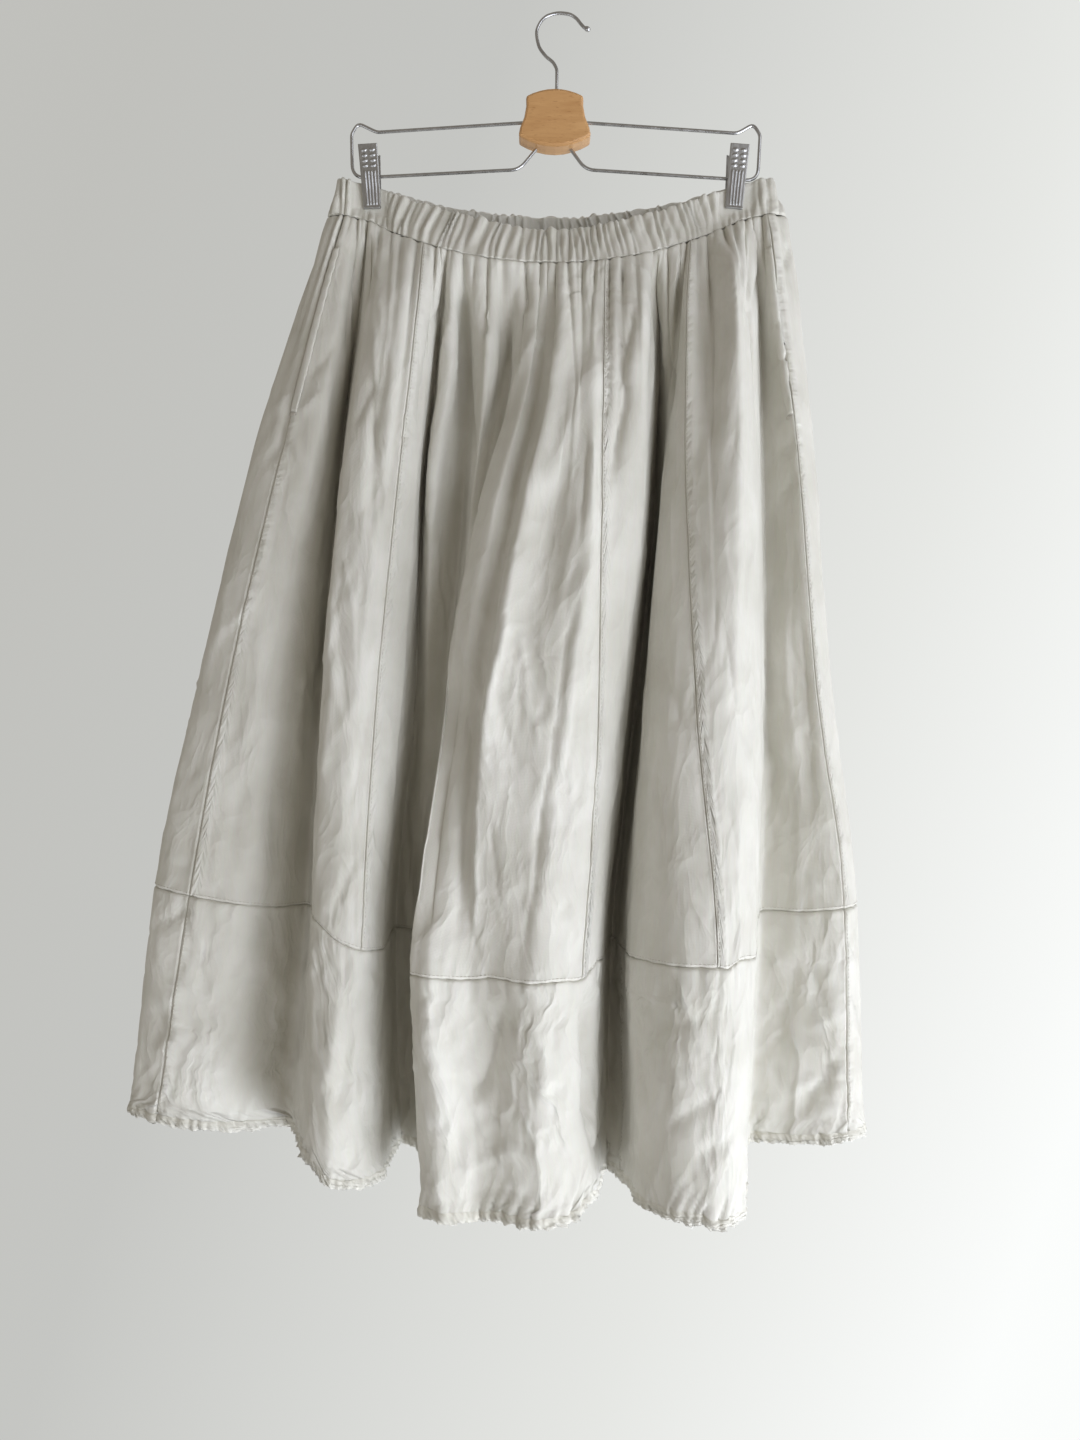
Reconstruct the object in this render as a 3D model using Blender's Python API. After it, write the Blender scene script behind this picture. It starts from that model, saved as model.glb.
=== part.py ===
"""Cocoon skirt on the clip hanger that it hangs from.

The skirt is a closed ring of washed cotton: a gathered elastic waistband, eight upper gores, four
lengths of hem band and a ruffled edge. Two clips on a wire hanger pinch the waistband.
X runs to the right, Y away from the viewer and Z up. The origin is the inside top of the hook.
"""

import math
from collections import namedtuple

import bmesh
import bpy
import numpy as np

MM = 0.001

# --- driving sizes, in millimetres ----------------------------------------------------------------
SEAM_GAP = 0.3            # between neighbouring pieces at a seam
CLOTH = 1.4               # wall of the skirt's gores and hem band
BAND_CLOTH = 1.6          # wall of the waistband, which is a casing of two layers over elastic
GORE_LENGTH = 565.0       # waist seam to band seam, along the cloth
HEM_BAND_LENGTH = 176.0   # band seam to the drawn-in hem line, along the cloth
FRILL_LENGTH = 9.0        # the raw edge below the hem line
FRILL_SWING = 2.8         # how far each ruffle wave stands off the hem
CLIP_LEFT, CLIP_RIGHT = -155.0, 144.0
CLIP_REACH = 11.0         # half the width of band that a clip holds flat
PINCH = 2.4               # outer face of each cloth layer in the clips, from the hanger's plane
WIRE = 2.8                # hanger wire across
PLATE_WALL = 1.4
PAD_WALL = 2.0
RIB_HEIGHT = 0.7
POCKET_TOP, POCKET_BOTTOM = 30.0, 170.0   # the pocket opening's lengths below the waist seam
POCKET_EDGE_WIDTH = 7.0
POCKET_EDGE_WALL = 1.0
POCKET_EDGE_OFF = 0.6     # from the side seam to the strip
POCKET_ROWS = 12

# Lengths of cloth below the waist seam at which the fold tables give their places.
LEVELS = (0.0, 80.0, 200.0, 380.0, GORE_LENGTH, GORE_LENGTH + HEM_BAND_LENGTH)
# Rows of points down the gores and down the hem band.
GORE_ROWS = (0, 24, 52, 86, 128, 175, 225, 280, 340, 400, 456, 512, GORE_LENGTH)
BAND_ROWS = tuple(GORE_LENGTH + HEM_BAND_LENGTH * share for share in (0, 0.25, 0.5, 0.77, 1))
COLUMN_STEP = 20.0        # usual spacing of the points between two fold lines
LEAST_MITRE = 0.7         # keeps the wall's points from running out at a sharp bend
HANG_STEPS = 148          # short lengths of cloth that each fold line is hung by
LEAST_FALL = 0.4          # of each such length, however far it runs sideways

# --- the folds ------------------------------------------------------------------------------------
# A row for each fold line of the front, from the left outline to the right one, as seen by the viewer.
# across: the line's X at each of LEVELS. depth: its Y at each level but the first, where the line
# starts on the waist seam. A lower Y is nearer to the viewer, so crests are low and valleys are high.
# drop: how much lower the line ends than cloth of the other lines' length, where the folds lean.
Fold = namedtuple("Fold", "name across depth drop", defaults=(0,))
FRONT_FOLDS = (
    Fold("left_edge", (-189, -214, -250, -290, -328, -347), (0, -5, -10, -13, -13)),
    Fold("side_seam_left", (-176, -196, -223, -263, -296, -322), (-14, -23, -26, -28, -26)),
    Fold("left_face", (-168, -178, -197, -228, -257, -285), (-18, -28, -26, -28, -24)),
    Fold("left_back", (-162, -169, -186, -208, -231, -254), (-10, -12, -9, -8, -4)),
    Fold("valley_1", (-158, -167, -182, -198, -211, -226), (6, 10, 14, 16, 12)),
    Fold("second_left", (-154, -156, -168, -182, -189, -194), (-24, -46, -60, -66, -67)),
    Fold("second_crest", (-138, -139, -153, -162, -171, -176), (-36, -54, -66, -74, -76), 10),
    Fold("seam_a", (-110, -116, -127, -143, -152, -154), (-38, -50, -60, -70, -63)),
    Fold("second_right", (-98, -104, -114, -126, -139, -142), (-24, -34, -40, -46, -40), -6),
    Fold("valley_2", (-93, -100, -112, -120, -136, -132), (0, 2, 8, 14, 14), -12),
    Fold("small_crest_a", (-86, -88, -103, -110, -122, -118), (-22, -24, -6, 4, 6), -18),
    Fold("small_valley_a", (-75, -76, -80, -97, -112, -109), (-6, 4, -4, -14, -14), -12),
    Fold("small_crest_b", (-58, -59, -71, -89, -108, -103), (-30, -23, -30, -38, -40)),
    Fold("small_valley_b", (-39, -40, -60, -89, -109, -102), (-12, -24, -46, -62, -60)),
    Fold("middle_left", (-27, -34, -64, -95, -113, -106), (-32, -48, -65, -84, -74)),
    Fold("middle_crest_a", (-16, -23, -50, -84, -99, -90), (-42, -63, -75, -95, -88)),
    Fold("middle_groove", (-9, -14, -36, -65, -68, -62), (-38, -58, -78, -84, -77)),
    Fold("middle_face", (-4, -8, -28, -56, -52, -46), (-54, -76, -93, -88, -82)),
    Fold("middle_crest_b", (9, 7, -4, -32, -34, -30), (-52, -68, -95, -98, -90)),
    Fold("middle_dip", (19, 17, 12, -8, -18, -18), (-49, -76, -97, -103, -94)),
    Fold("middle_crest_c", (28, 25, 23, 10, -2, -4), (-52, -80, -93, -98, -90)),
    Fold("seam_b", (35, 33, 30, 27, 15, 6), (-50, -74, -82, -87, -82)),
    Fold("middle_right", (63, 62, 61, 43, 27, 20), (-58, -60, -61, -70, -72)),
    Fold("middle_edge", (72, 73, 69, 52, 33, 27), (-28, -32, -34, -38, -49)),
    Fold("valley_3", (77, 82, 79, 62, 43, 37), (8, 16, 16, 8, -16)),
    Fold("band_seam_front", (86, 86, 82, 66, 50, 49), (-22, -8, -6, -14, -24)),
    Fold("fourth_left", (96, 93, 79, 64, 53, 60), (-28, -42, -54, -66, -83), 4),
    Fold("fourth_face", (100, 95, 87, 81, 82, 80), (-36, -54, -84, -105, -102), 10),
    Fold("seam_c", (104, 98, 95, 99, 112, 101), (-43, -62, -94, -112, -108), 16),
    Fold("fourth_dip", (119, 118, 112, 114, 120, 110), (-38, -72, -97, -110, -109), 28),
    Fold("fourth_crest", (135, 135, 134, 130, 131, 122), (-56, -80, -94, -102, -104), 46),
    Fold("fourth_edge", (150, 152, 151, 151, 146, 135), (-34, -54, -68, -77, -86), 40),
    Fold("valley_4", (156, 164, 166, 168, 163, 151), (2, -4, -8, -12, -22)),
    Fold("right_face", (161, 169, 178, 185, 192, 186), (-10, -18, -25, -28, -31)),
    Fold("side_seam_right", (168, 176, 188, 201, 223, 227), (-19, -29, -35, -37, -35)),
    Fold("right_edge", (185, 197, 208, 221, 241, 246), (0, -2, -5, -8, -10)),
)

# A row for each fold line of the back, from the right outline round to the left one. share_top and
# share_hem: its place between the two outlines at the waist seam and at the hem, where the right one
# is 0 and the left one is 1. depth_hip and depth_hem: its Y two levels down and at the hem. The
# levels between take these shares of the way from waist to hip, and from hip to hem.
TO_HIP = 0.62
TO_HEM = (0.5, 0.9)
BackFold = namedtuple("BackFold", "name share_top share_hem depth_hip depth_hem")
BACK_FOLDS = (
    BackFold("turn_right", 0.015, 0.014, 14, 16),
    BackFold("ridge_1", 0.06, 0.050, 40, 52),
    BackFold("hollow_1", 0.12, 0.105, 27, 29),
    BackFold("seam_back_a", 0.18, 0.175, 49, 62),
    BackFold("hollow_2", 0.24, 0.230, 30, 32),
    BackFold("ridge_3", 0.31, 0.290, 47, 56),
    BackFold("hollow_3", 0.36, 0.355, 28, 30),
    BackFold("ridge_4", 0.43, 0.415, 52, 64),
    BackFold("seam_back_centre", 0.49, 0.470, 38, 44),
    BackFold("hollow_4", 0.53, 0.510, 30, 31),
    BackFold("ridge_5", 0.58, 0.570, 50, 60),
    BackFold("hollow_5", 0.64, 0.635, 29, 32),
    BackFold("ridge_6", 0.70, 0.705, 51, 63),
    BackFold("seam_back_b", 0.76, 0.770, 33, 36),
    BackFold("ridge_7", 0.82, 0.835, 45, 56),
    BackFold("hollow_7", 0.88, 0.895, 27, 30),
    BackFold("ridge_8", 0.935, 0.950, 37, 46),
    BackFold("turn_left", 0.985, 0.986, 14, 16),
)

# The waistband's plan: how far its layers stand from the hanger's plane, at its top and its bottom.
# ends and clips give the small loops outside the clips; between the clips the band bows out.
WaistEnd = namedtuple("WaistEnd", "name top_x bottom_x top_out bottom_out")
WAIST_ENDS = (
    WaistEnd("end", 26.0, 34.0, 0.0, 0.0),
    WaistEnd("round", 24.5, 31.5, 3.6, 4.6),
    WaistEnd("loop", 17.0, 21.0, 5.6, 7.0),
    WaistEnd("clip_outer", CLIP_REACH, CLIP_REACH, PINCH, 5.4),
    WaistEnd("clip_inner", -CLIP_REACH, -CLIP_REACH, PINCH, 6.0),
)
END_EXTRA_RIGHT = (3.6, 6.0)  # the right end stands this much further out, at its top and its bottom
FRONT_BOW = (16.6, 27.0)  # at the band's top and bottom, beyond the pinch
BACK_BOW = (11.6, 14.0)
FRONT_SAG = (45.0, 44.5)
BACK_SAG = (21.0, 23.0)
SAG_POWER_TOP = 1.55      # the front's top edge drops more steeply beside the clips
BAND_TOP, BAND_BOTTOM = -141.0, -171.0    # Z at the clips
END_RISE = (4.0, 5.5)
END_RISE_RUN = 0.18       # it rises over this much of the span beside the clips
GRIP_SHARE = 0.72         # the clips pinch the band down to here
GRIP_FADE, GRIP_POWER = 5.0, 8            # how soon the gathers start beside a clip
BAND_SHARES = (0.0, 0.34, GRIP_SHARE, 1.0)  # rows down the waistband
BAND_SWELLS = (0.75, 1.0, 0.9, 0.0)       # how far its gathers puff at each row
END_TURN = 0.6            # the folded ends are this blunt
SIDE_SEAM_LEFT_X = (-174.0, -176.0)       # where the band's own side seams stand, at its top and its bottom
SIDE_SEAM_RIGHT_X = 168.0
BAND_STEPS, BACK_STEPS, END_STEPS = 150, 120, 5   # points of the band's front, its back and its turned ends
FRONT_GATHERS, BACK_GATHERS = 34, 26
GATHER_HEIGHT = 2.3
POINTS_PER_GATHER = 3
LEAST_GATHER = 0.72       # narrowest gather, times the mean one
GATHER_TALL = (0.7, 1.1)
FRONT_WAVES, BACK_WAVES = 64, 42          # ruffle waves of the raw edge
POINTS_PER_WAVE = 3
LEAST_WAVE = 0.6
WAVE_TALL = (0.55, 1.1)
WAVE_PHASE = 0.5          # so that no wave's points all fall on its middle line
SEED_FRONT, SEED_BACK, SEED_FRILL = 3, 8, 20

# --- colours (linear RGB), roughness and metallic -------------------------------------------------
COTTON = ((0.64, 0.62, 0.56), 0.92, 0.0)
BLOND_WOOD = ((0.55, 0.33, 0.15), 0.5, 0.0)
STEEL = ((0.30, 0.30, 0.31), 0.32, 1.0)
DARK_STEEL = ((0.16, 0.16, 0.17), 0.38, 1.0)


# --- helpers --------------------------------------------------------------------------------------
def clear_scene():
    for obj in list(bpy.data.objects):
        bpy.data.objects.remove(obj, do_unlink=True)


def finish(obj, look):
    """Gives the object its own plain material."""
    colour, roughness, metallic = look
    material = bpy.data.materials.new(obj.name)
    material.use_nodes = True
    shader = material.node_tree.nodes["Principled BSDF"]
    shader.inputs["Base Color"].default_value = (*colour, 1.0)
    shader.inputs["Roughness"].default_value = roughness
    shader.inputs["Metallic"].default_value = metallic
    obj.data.materials.append(material)
    return obj


def smooth(knots, values, places):
    """A cubic through values at knots, with slopes that never overshoot a crest or a valley."""
    knots = np.asarray(knots, float)
    values = np.asarray(values, float)
    steps = np.diff(knots)
    rises = np.diff(values, axis=0) / steps.reshape(-1, *([1] * (values.ndim - 1)))
    slopes = np.empty_like(values)
    slopes[0], slopes[-1] = rises[0], rises[-1]
    same_way = rises[1:] * rises[:-1] > 0
    both = np.where(same_way, rises[1:] + rises[:-1], 1)
    slopes[1:-1] = np.where(same_way, 2 * rises[1:] * rises[:-1] / both, 0)
    places = np.clip(places, knots[0], knots[-1])
    seat = np.clip(np.searchsorted(knots, places, side="right") - 1, 0, len(steps) - 1)
    shape = (-1,) + (1,) * (values.ndim - 1)
    step = steps[seat].reshape(shape)
    t = ((places - knots[seat]) / steps[seat]).reshape(shape)
    return (
        values[seat] * (2 * t**3 - 3 * t**2 + 1)
        + slopes[seat] * step * (t**3 - 2 * t**2 + t)
        + values[seat + 1] * (3 * t**2 - 2 * t**3)
        + slopes[seat + 1] * step * (t**3 - t**2)
    )


def between(a, b, share):
    return a + (b - a) * share


def uneven(count, seed, least):
    """Widths for count gathers or waves that add up to 1, none under least times the mean one."""
    draw = np.random.default_rng(seed)
    widths = draw.uniform(least, 2 - least, count)
    return widths / widths.sum()


# --- the waistband's ring -------------------------------------------------------------------------
def span_share(x):
    """0 midway between the clips, and 1 at either clip."""
    middle = (CLIP_LEFT + CLIP_RIGHT) / 2
    return np.abs(x - middle) / ((CLIP_RIGHT - CLIP_LEFT) / 2)


def beside_clip(x):
    """1 where a clip holds the band flat, falling to 0 a little way off."""
    away = np.minimum(np.abs(x - CLIP_LEFT), np.abs(x - CLIP_RIGHT))
    return np.exp(-((away / (CLIP_REACH + GRIP_FADE)) ** GRIP_POWER))


def end_x(side, share):
    """X of the band's left (-1) or right (+1) end, share of the way down it."""
    end = WAIST_ENDS[0]
    out = between(end.top_x, end.bottom_x, share)
    return CLIP_LEFT - out if side < 0 else CLIP_RIGHT + out + between(*END_EXTRA_RIGHT, share)


def waist_plan(x, share, bow):
    """How far the band stands from the hanger's plane at x, share of the way down it."""
    x = np.asarray(x, float)
    lift = np.clip((share - GRIP_SHARE) / (1 - GRIP_SHARE), 0, 1)
    low = between(np.full_like(x, share), lift, beside_clip(x))
    outs = []
    for side in (-1, 1):
        clip = CLIP_LEFT if side < 0 else CLIP_RIGHT
        reach = np.array([between(row.top_x, row.bottom_x, share) for row in WAIST_ENDS])
        reach = reach * abs(end_x(side, share) - clip) / reach[0]
        tops = np.array([row.top_out for row in WAIST_ENDS])
        bottoms = np.array([row.bottom_out for row in WAIST_ENDS])
        off = side * (x - clip)
        order = reach[::-1]
        at = np.clip(off, order[0], order[-1])
        outs.append(between(smooth(order, tops[::-1], at), smooth(order, bottoms[::-1], at), low))
    near_left = x < (CLIP_LEFT + CLIP_RIGHT) / 2
    loop = np.where(near_left, outs[0], outs[1])
    half = (CLIP_RIGHT - CLIP_LEFT) / 2
    inner = np.clip(1 - (span_share(x) * half / (half - CLIP_REACH)) ** 2, 0, 1)
    return loop + between(bow[0], bow[1], share) * inner


def waist_height(x, share, sag, power_top):
    """Z of the band at x, share of the way down it."""
    u = span_share(x)
    top = BAND_TOP - sag[0] * np.clip(1 - u**power_top, 0, 1)
    bottom = BAND_BOTTOM - sag[1] * np.clip(1 - u**2, 0, 1)
    beyond = np.clip((u - 1) / END_RISE_RUN, 0, 1)
    return between(top + END_RISE[0] * beyond, bottom + END_RISE[1] * beyond, share)


def waist_front(x, share):
    height = waist_height(x, share, FRONT_SAG, SAG_POWER_TOP)
    return np.stack([x, -waist_plan(x, share, FRONT_BOW), height], -1)


def waist_back(x, share):
    return np.stack([x, waist_plan(x, share, BACK_BOW), waist_height(x, share, BACK_SAG, 2.0)], -1)


# --- the skirt's ring -----------------------------------------------------------------------------
def hang(start, across, depth, lengths, drop=0):
    """Points down one fold line: cloth of each length hangs as low as its sideways run allows."""
    fine = np.linspace(0, LEVELS[-1], HANG_STEPS + 1)
    x = smooth(LEVELS, across, fine)
    y = smooth(LEVELS, (start[1], *depth), fine)
    step = fine[1] - fine[0]
    fall = np.sqrt(np.maximum(step**2 - np.diff(x) ** 2 - np.diff(y) ** 2, (LEAST_FALL * step) ** 2))
    z = start[2] - np.concatenate([[0], np.cumsum(fall)]) - drop * fine / LEVELS[-1]
    return np.stack([np.interp(lengths, fine, line) for line in (x, y, z)], -1)


def fold_lines(lengths):
    """The ring of fold lines, front and then back, each a column of points at the given lengths."""
    lines, names = [], []
    for fold in FRONT_FOLDS:
        start = waist_front(np.array([float(fold.across[0])]), 1.0)[0]
        lines.append(hang(start, fold.across, fold.depth, lengths, fold.drop))
        names.append(fold.name)
    left, right = FRONT_FOLDS[0].across, FRONT_FOLDS[-1].across
    for fold in BACK_FOLDS:
        shares = np.interp(LEVELS, (LEVELS[0], LEVELS[-1]), (fold.share_top, fold.share_hem))
        across = [between(r, l, share) for r, l, share in zip(right, left, shares)]
        start = waist_back(np.array([across[0]]), 1.0)[0]
        hip, hem = fold.depth_hip, fold.depth_hem
        depth = (between(start[1], hip, TO_HIP), hip, *(between(hip, hem, share) for share in TO_HEM), hem)
        lines.append(hang(start, across, depth, lengths))
        names.append(fold.name)
    return np.array(lines), names


def ring_through(lines, counts):
    """Columns of a smooth closed surface through the fold lines, counts of them from each line on."""
    before, after, beyond = np.roll(lines, 1, 0), np.roll(lines, -1, 0), np.roll(lines, -2, 0)
    columns = []
    for i, count in enumerate(counts):
        p0, p1, p2, p3 = before[i], lines[i], after[i], beyond[i]
        chords = (p1 - p0, p2 - p1, p3 - p2)
        gaps = [np.sqrt(np.linalg.norm(chord, axis=-1, keepdims=True)) for chord in chords]
        for k in range(count):
            t = k / count
            m1 = (p1 - p0) / gaps[0] - (p2 - p0) / (gaps[0] + gaps[1]) + (p2 - p1) / gaps[1]
            m2 = (p2 - p1) / gaps[1] - (p3 - p1) / (gaps[1] + gaps[2]) + (p3 - p2) / gaps[2]
            m1, m2 = m1 * gaps[1], m2 * gaps[1]
            columns.append(
                p1 * (2 * t**3 - 3 * t**2 + 1)
                + m1 * (t**3 - 2 * t**2 + t)
                + p2 * (3 * t**2 - 2 * t**3)
                + m2 * (t**3 - t**2)
            )
    return np.array(columns).transpose(1, 0, 2)


def ring_normals(grid):
    """Level outward directions over closed rings of points, longer at a bend to keep the wall's width."""
    ways = np.roll(grid, -1, -2) - grid
    ways[..., 2] = 0
    ways /= np.linalg.norm(ways, axis=-1, keepdims=True)
    both = ways + np.roll(ways, 1, -2)
    half_turn = np.linalg.norm(both, axis=-1, keepdims=True) / 2
    both /= 2 * np.maximum(half_turn, 1e-6)
    level = np.stack([both[..., 1], -both[..., 0], np.zeros(both.shape[:-1])], -1)
    return level / np.maximum(half_turn, LEAST_MITRE)


def skirt_ring(rows):
    """(points, outward directions, column of each fold line) of the whole skirt at the given lengths."""
    lines, names = fold_lines(np.array(rows, float))
    lows, _ = fold_lines(np.array(LEVELS[1:]))
    chords = np.linalg.norm(np.roll(lows, -1, 0) - lows, axis=-1).max(1)
    counts = np.maximum(1, np.rint(chords / COLUMN_STEP)).astype(int)
    grid = ring_through(lines, counts)
    column = dict(zip(names, np.concatenate([[0], np.cumsum(counts)[:-1]])))
    return grid, ring_normals(grid), column


# --- walls ----------------------------------------------------------------------------------------
def drawn_in(grid, edges=(True, True)):
    """The grid with its end columns, and its top and bottom rows if asked, moved in by half a seam gap."""
    grid = grid.copy()
    half = SEAM_GAP / 2
    for edge, inner in ((0, 1), (-1, -2)):
        way = grid[:, inner] - grid[:, edge]
        grid[:, edge] += half * way / np.linalg.norm(way, axis=-1, keepdims=True)
    for on, edge, inner in ((edges[0], 0, 1), (edges[1], -1, -2)):
        if on:
            way = grid[inner] - grid[edge]
            grid[edge] += half * way / np.linalg.norm(way, axis=-1, keepdims=True)
    return grid


def wall(name, outer, inner, look):
    """A closed wall between two sheets of rows and columns of points, in millimetres."""
    rows, columns = outer.shape[:2]
    count = rows * columns
    points = np.concatenate([outer.reshape(-1, 3), inner.reshape(-1, 3)]) * MM
    faces = []
    for r in range(rows - 1):
        for c in range(columns - 1):
            a, b = r * columns + c, (r + 1) * columns + c
            faces += [(a, b, b + 1), (a, b + 1, a + 1)]
            faces += [(a + count, b + 1 + count, b + count), (a + count, a + 1 + count, b + 1 + count)]
    last = columns - 1
    left = [(r * columns, (r + 1) * columns) for r in range(rows - 1)]
    bottom = [((rows - 1) * columns + c, (rows - 1) * columns + c + 1) for c in range(last)]
    right = [((r + 1) * columns + last, r * columns + last) for r in range(rows - 1)]
    top = [(c + 1, c) for c in range(last)]
    # Both pieces at a seam split its strip along the same diagonals, so that neither enters the other.
    for a, b in left + bottom:
        faces += [(a, b + count, b), (a, a + count, b + count)]
    for a, b in right + top:
        faces += [(a, a + count, b), (b, a + count, b + count)]
    mesh = bpy.data.meshes.new(name)
    mesh.from_pydata(points.tolist(), [], faces)
    mesh.shade_smooth()
    mesh.set_sharp_from_angle(angle=math.radians(50))
    obj = bpy.data.objects.new(name, mesh)
    bpy.context.scene.collection.objects.link(obj)
    return finish(obj, look)


def columns_between(grid, first, last):
    """The columns from first to last, round the ring."""
    count = grid.shape[1]
    span = (last - first) % count
    return grid[:, [(first + k) % count for k in range(span + 1)]]


def panel(name, ring, first, last):
    """A sewn panel of the skirt: the ring's wall from one fold line to another."""
    grid, normals, column = ring
    outer = columns_between(grid, column[first], column[last])
    inward = columns_between(grid - CLOTH * normals, column[first], column[last])
    return wall(name, drawn_in(outer), drawn_in(inward), COTTON)


# --- pieces of the skirt --------------------------------------------------------------------------
GORES = (
    ("gore_front_left", "side_seam_left", "seam_a"),
    ("gore_front_mid_left", "seam_a", "seam_b"),
    ("gore_front_mid_right", "seam_b", "seam_c"),
    ("gore_front_right", "seam_c", "side_seam_right"),
    ("gore_back_right", "side_seam_right", "seam_back_a"),
    ("gore_back_mid_right", "seam_back_a", "seam_back_centre"),
    ("gore_back_mid_left", "seam_back_centre", "seam_back_b"),
    ("gore_back_left", "seam_back_b", "side_seam_left"),
)
HEM_BANDS = (
    ("hem_band_front_left", "side_seam_left", "band_seam_front"),
    ("hem_band_front_right", "band_seam_front", "side_seam_right"),
    ("hem_band_back_right", "side_seam_right", "seam_back_centre"),
    ("hem_band_back_left", "seam_back_centre", "side_seam_left"),
)
FRILLS = (
    ("hem_frill_front", "side_seam_left", "side_seam_right", FRONT_WAVES),
    ("hem_frill_back", "side_seam_right", "side_seam_left", BACK_WAVES),
)


def gather_places(count, seed):
    """Shares of the way along and wave heights (-1..1), several points to each uneven gather."""
    edges = np.concatenate([[0], np.cumsum(uneven(count, seed, LEAST_GATHER))])
    draw = np.random.default_rng(seed + 1)
    shares, heights = [0.0], [0.0]
    for a, b in zip(edges, edges[1:]):
        tall = draw.uniform(*GATHER_TALL)
        for k in range(1, POINTS_PER_GATHER + 1):
            part = k / POINTS_PER_GATHER
            shares.append(between(a, b, part))
            heights.append(tall * math.sin(2 * math.pi * part))
    return np.array(shares), np.array(heights)


def shares_of(points):
    """How far along an open line each of its points is, from 0 to 1."""
    run = np.concatenate([[0], np.cumsum(np.linalg.norm(np.diff(points, axis=0), axis=1))])
    return run / run[-1]


def run_along(points, shares, places=None):
    """Points at shares of the way along an open line, or along the line that places belong to."""
    places = shares_of(points) if places is None else places
    return np.stack([np.interp(shares, places, points[:, k]) for k in range(3)], -1)


def at_corners(shares, corners):
    """The shares with the one nearest to each corner of a line moved onto it."""
    shares = shares.copy()
    for corner in corners:
        shares[np.argmin(np.abs(shares - corner))] = corner
    return shares


def band_line(side, share):
    """The band's ring share of the way down it: its front, or its back with the folds at both ends."""
    seam_left = between(*SIDE_SEAM_LEFT_X, share)
    if side == "front":
        return waist_front(np.linspace(seam_left, SIDE_SEAM_RIGHT_X, BAND_STEPS), share)
    left, right = end_x(-1, share), end_x(1, share)
    turn_left, turn_right = left + END_TURN, right - END_TURN
    return np.concatenate([
        waist_front(np.linspace(SIDE_SEAM_RIGHT_X, turn_right, END_STEPS), share),
        [[right, 0, waist_back(np.array([right]), share)[0][2]]],
        waist_back(np.linspace(turn_right, turn_left, BACK_STEPS), share),
        [[left, 0, waist_back(np.array([left]), share)[0][2]]],
        waist_front(np.linspace(turn_left, seam_left, END_STEPS), share),
    ])


def build_waistband(gores):
    """The gathered casing, front and back, standing on the gores' top edge."""
    grid, _, column = gores
    halves = (
        ("waistband_front", "front", "side_seam_left", "side_seam_right", FRONT_GATHERS, SEED_FRONT),
        ("waistband_back", "back", "side_seam_right", "side_seam_left", BACK_GATHERS, SEED_BACK),
    )
    rows, puffs = [[] for _ in BAND_SHARES], []
    for _, side, first, last, gathers, seed in halves:
        shares, heights = gather_places(gathers, seed)
        puffs.append(heights[:-1])
        edge = columns_between(grid, column[first], column[last])[0]
        for row, share in zip(rows, BAND_SHARES):
            if share == 1.0:
                row.append(run_along(edge, at_corners(shares, shares_of(edge)))[:-1])
            else:
                row.append(run_along(band_line(side, share), shares)[:-1])
    ring = np.array([np.concatenate(row) for row in rows])
    normals = ring_normals(ring)
    free = 1 - beside_clip(ring[..., :1])
    swells = np.array(BAND_SWELLS)[:, None, None]
    puff = GATHER_HEIGHT * swells * np.concatenate(puffs)[None, :, None] * free
    outer = ring + normals * puff
    inner = outer - normals * BAND_CLOTH
    count, start = ring.shape[1], 0
    for (name, *_), heights in zip(halves, puffs):
        end = (start + len(heights)) % count
        sheets = [columns_between(sheet, start, end) for sheet in (outer, inner)]
        sheets = [drawn_in(sheet, edges=(False, True)) for sheet in sheets]
        wall(name, *sheets, COTTON)
        start = end


def frill(name, bands, first, last, waves, seed):
    """The raw edge below the drawn-in hem line: straight where the elastic holds it, ruffled at its edge."""
    grid, normals, column = bands
    edges = np.concatenate([[0], np.cumsum(uneven(waves, seed, LEAST_WAVE))])
    turns = np.arange(waves * POINTS_PER_WAVE + 1) / POINTS_PER_WAVE
    shares = np.interp(turns, np.arange(waves + 1), edges)
    swing = FRILL_SWING * np.sin(2 * np.pi * turns + WAVE_PHASE)
    swing *= np.random.default_rng(seed + 1).uniform(*WAVE_TALL, len(shares))
    hem = columns_between(grid, column[first], column[last])[-1]
    inside = hem - CLOTH * columns_between(normals, column[first], column[last])[-1]
    corners = shares_of(hem)
    tops = [run_along(line, at_corners(shares, corners), corners) for line in (hem, inside)]
    out = tops[0] - tops[1]
    out /= np.linalg.norm(out, axis=1, keepdims=True)
    sheets = []
    for top in tops:
        top = top - np.array([0, 0, SEAM_GAP])
        edge = top + out * swing[:, None] - np.array([0, 0, FRILL_LENGTH])
        sheets.append(drawn_in(np.array([top, edge]), edges=(False, False)))
    return wall(name, *sheets, COTTON)


def pocket_edge(name, seam, inward):
    """The folded edge of a side-seam pocket: a strip on the front gore, made from its points moved out."""
    rows = np.linspace(POCKET_TOP, POCKET_BOTTOM, POCKET_ROWS)
    grid, normals, column = skirt_ring(rows)
    at, beside = column[seam], column[seam] + inward
    way = grid[:, beside] - grid[:, at]
    way /= np.linalg.norm(way, axis=-1, keepdims=True)
    out = normals[:, at] / np.linalg.norm(normals[:, at], axis=-1, keepdims=True)
    out -= way * np.sum(out * way, -1, keepdims=True)
    out /= np.linalg.norm(out, axis=-1, keepdims=True)
    near = grid[:, at] + way * POCKET_EDGE_OFF + out * SEAM_GAP
    far = near + way * POCKET_EDGE_WIDTH
    pair = (near, far) if inward > 0 else (far, near)
    inner = np.stack(pair, 1)
    outer = inner + POCKET_EDGE_WALL * np.stack([out, out], 1)
    return wall(name, outer, inner, COTTON)


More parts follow.
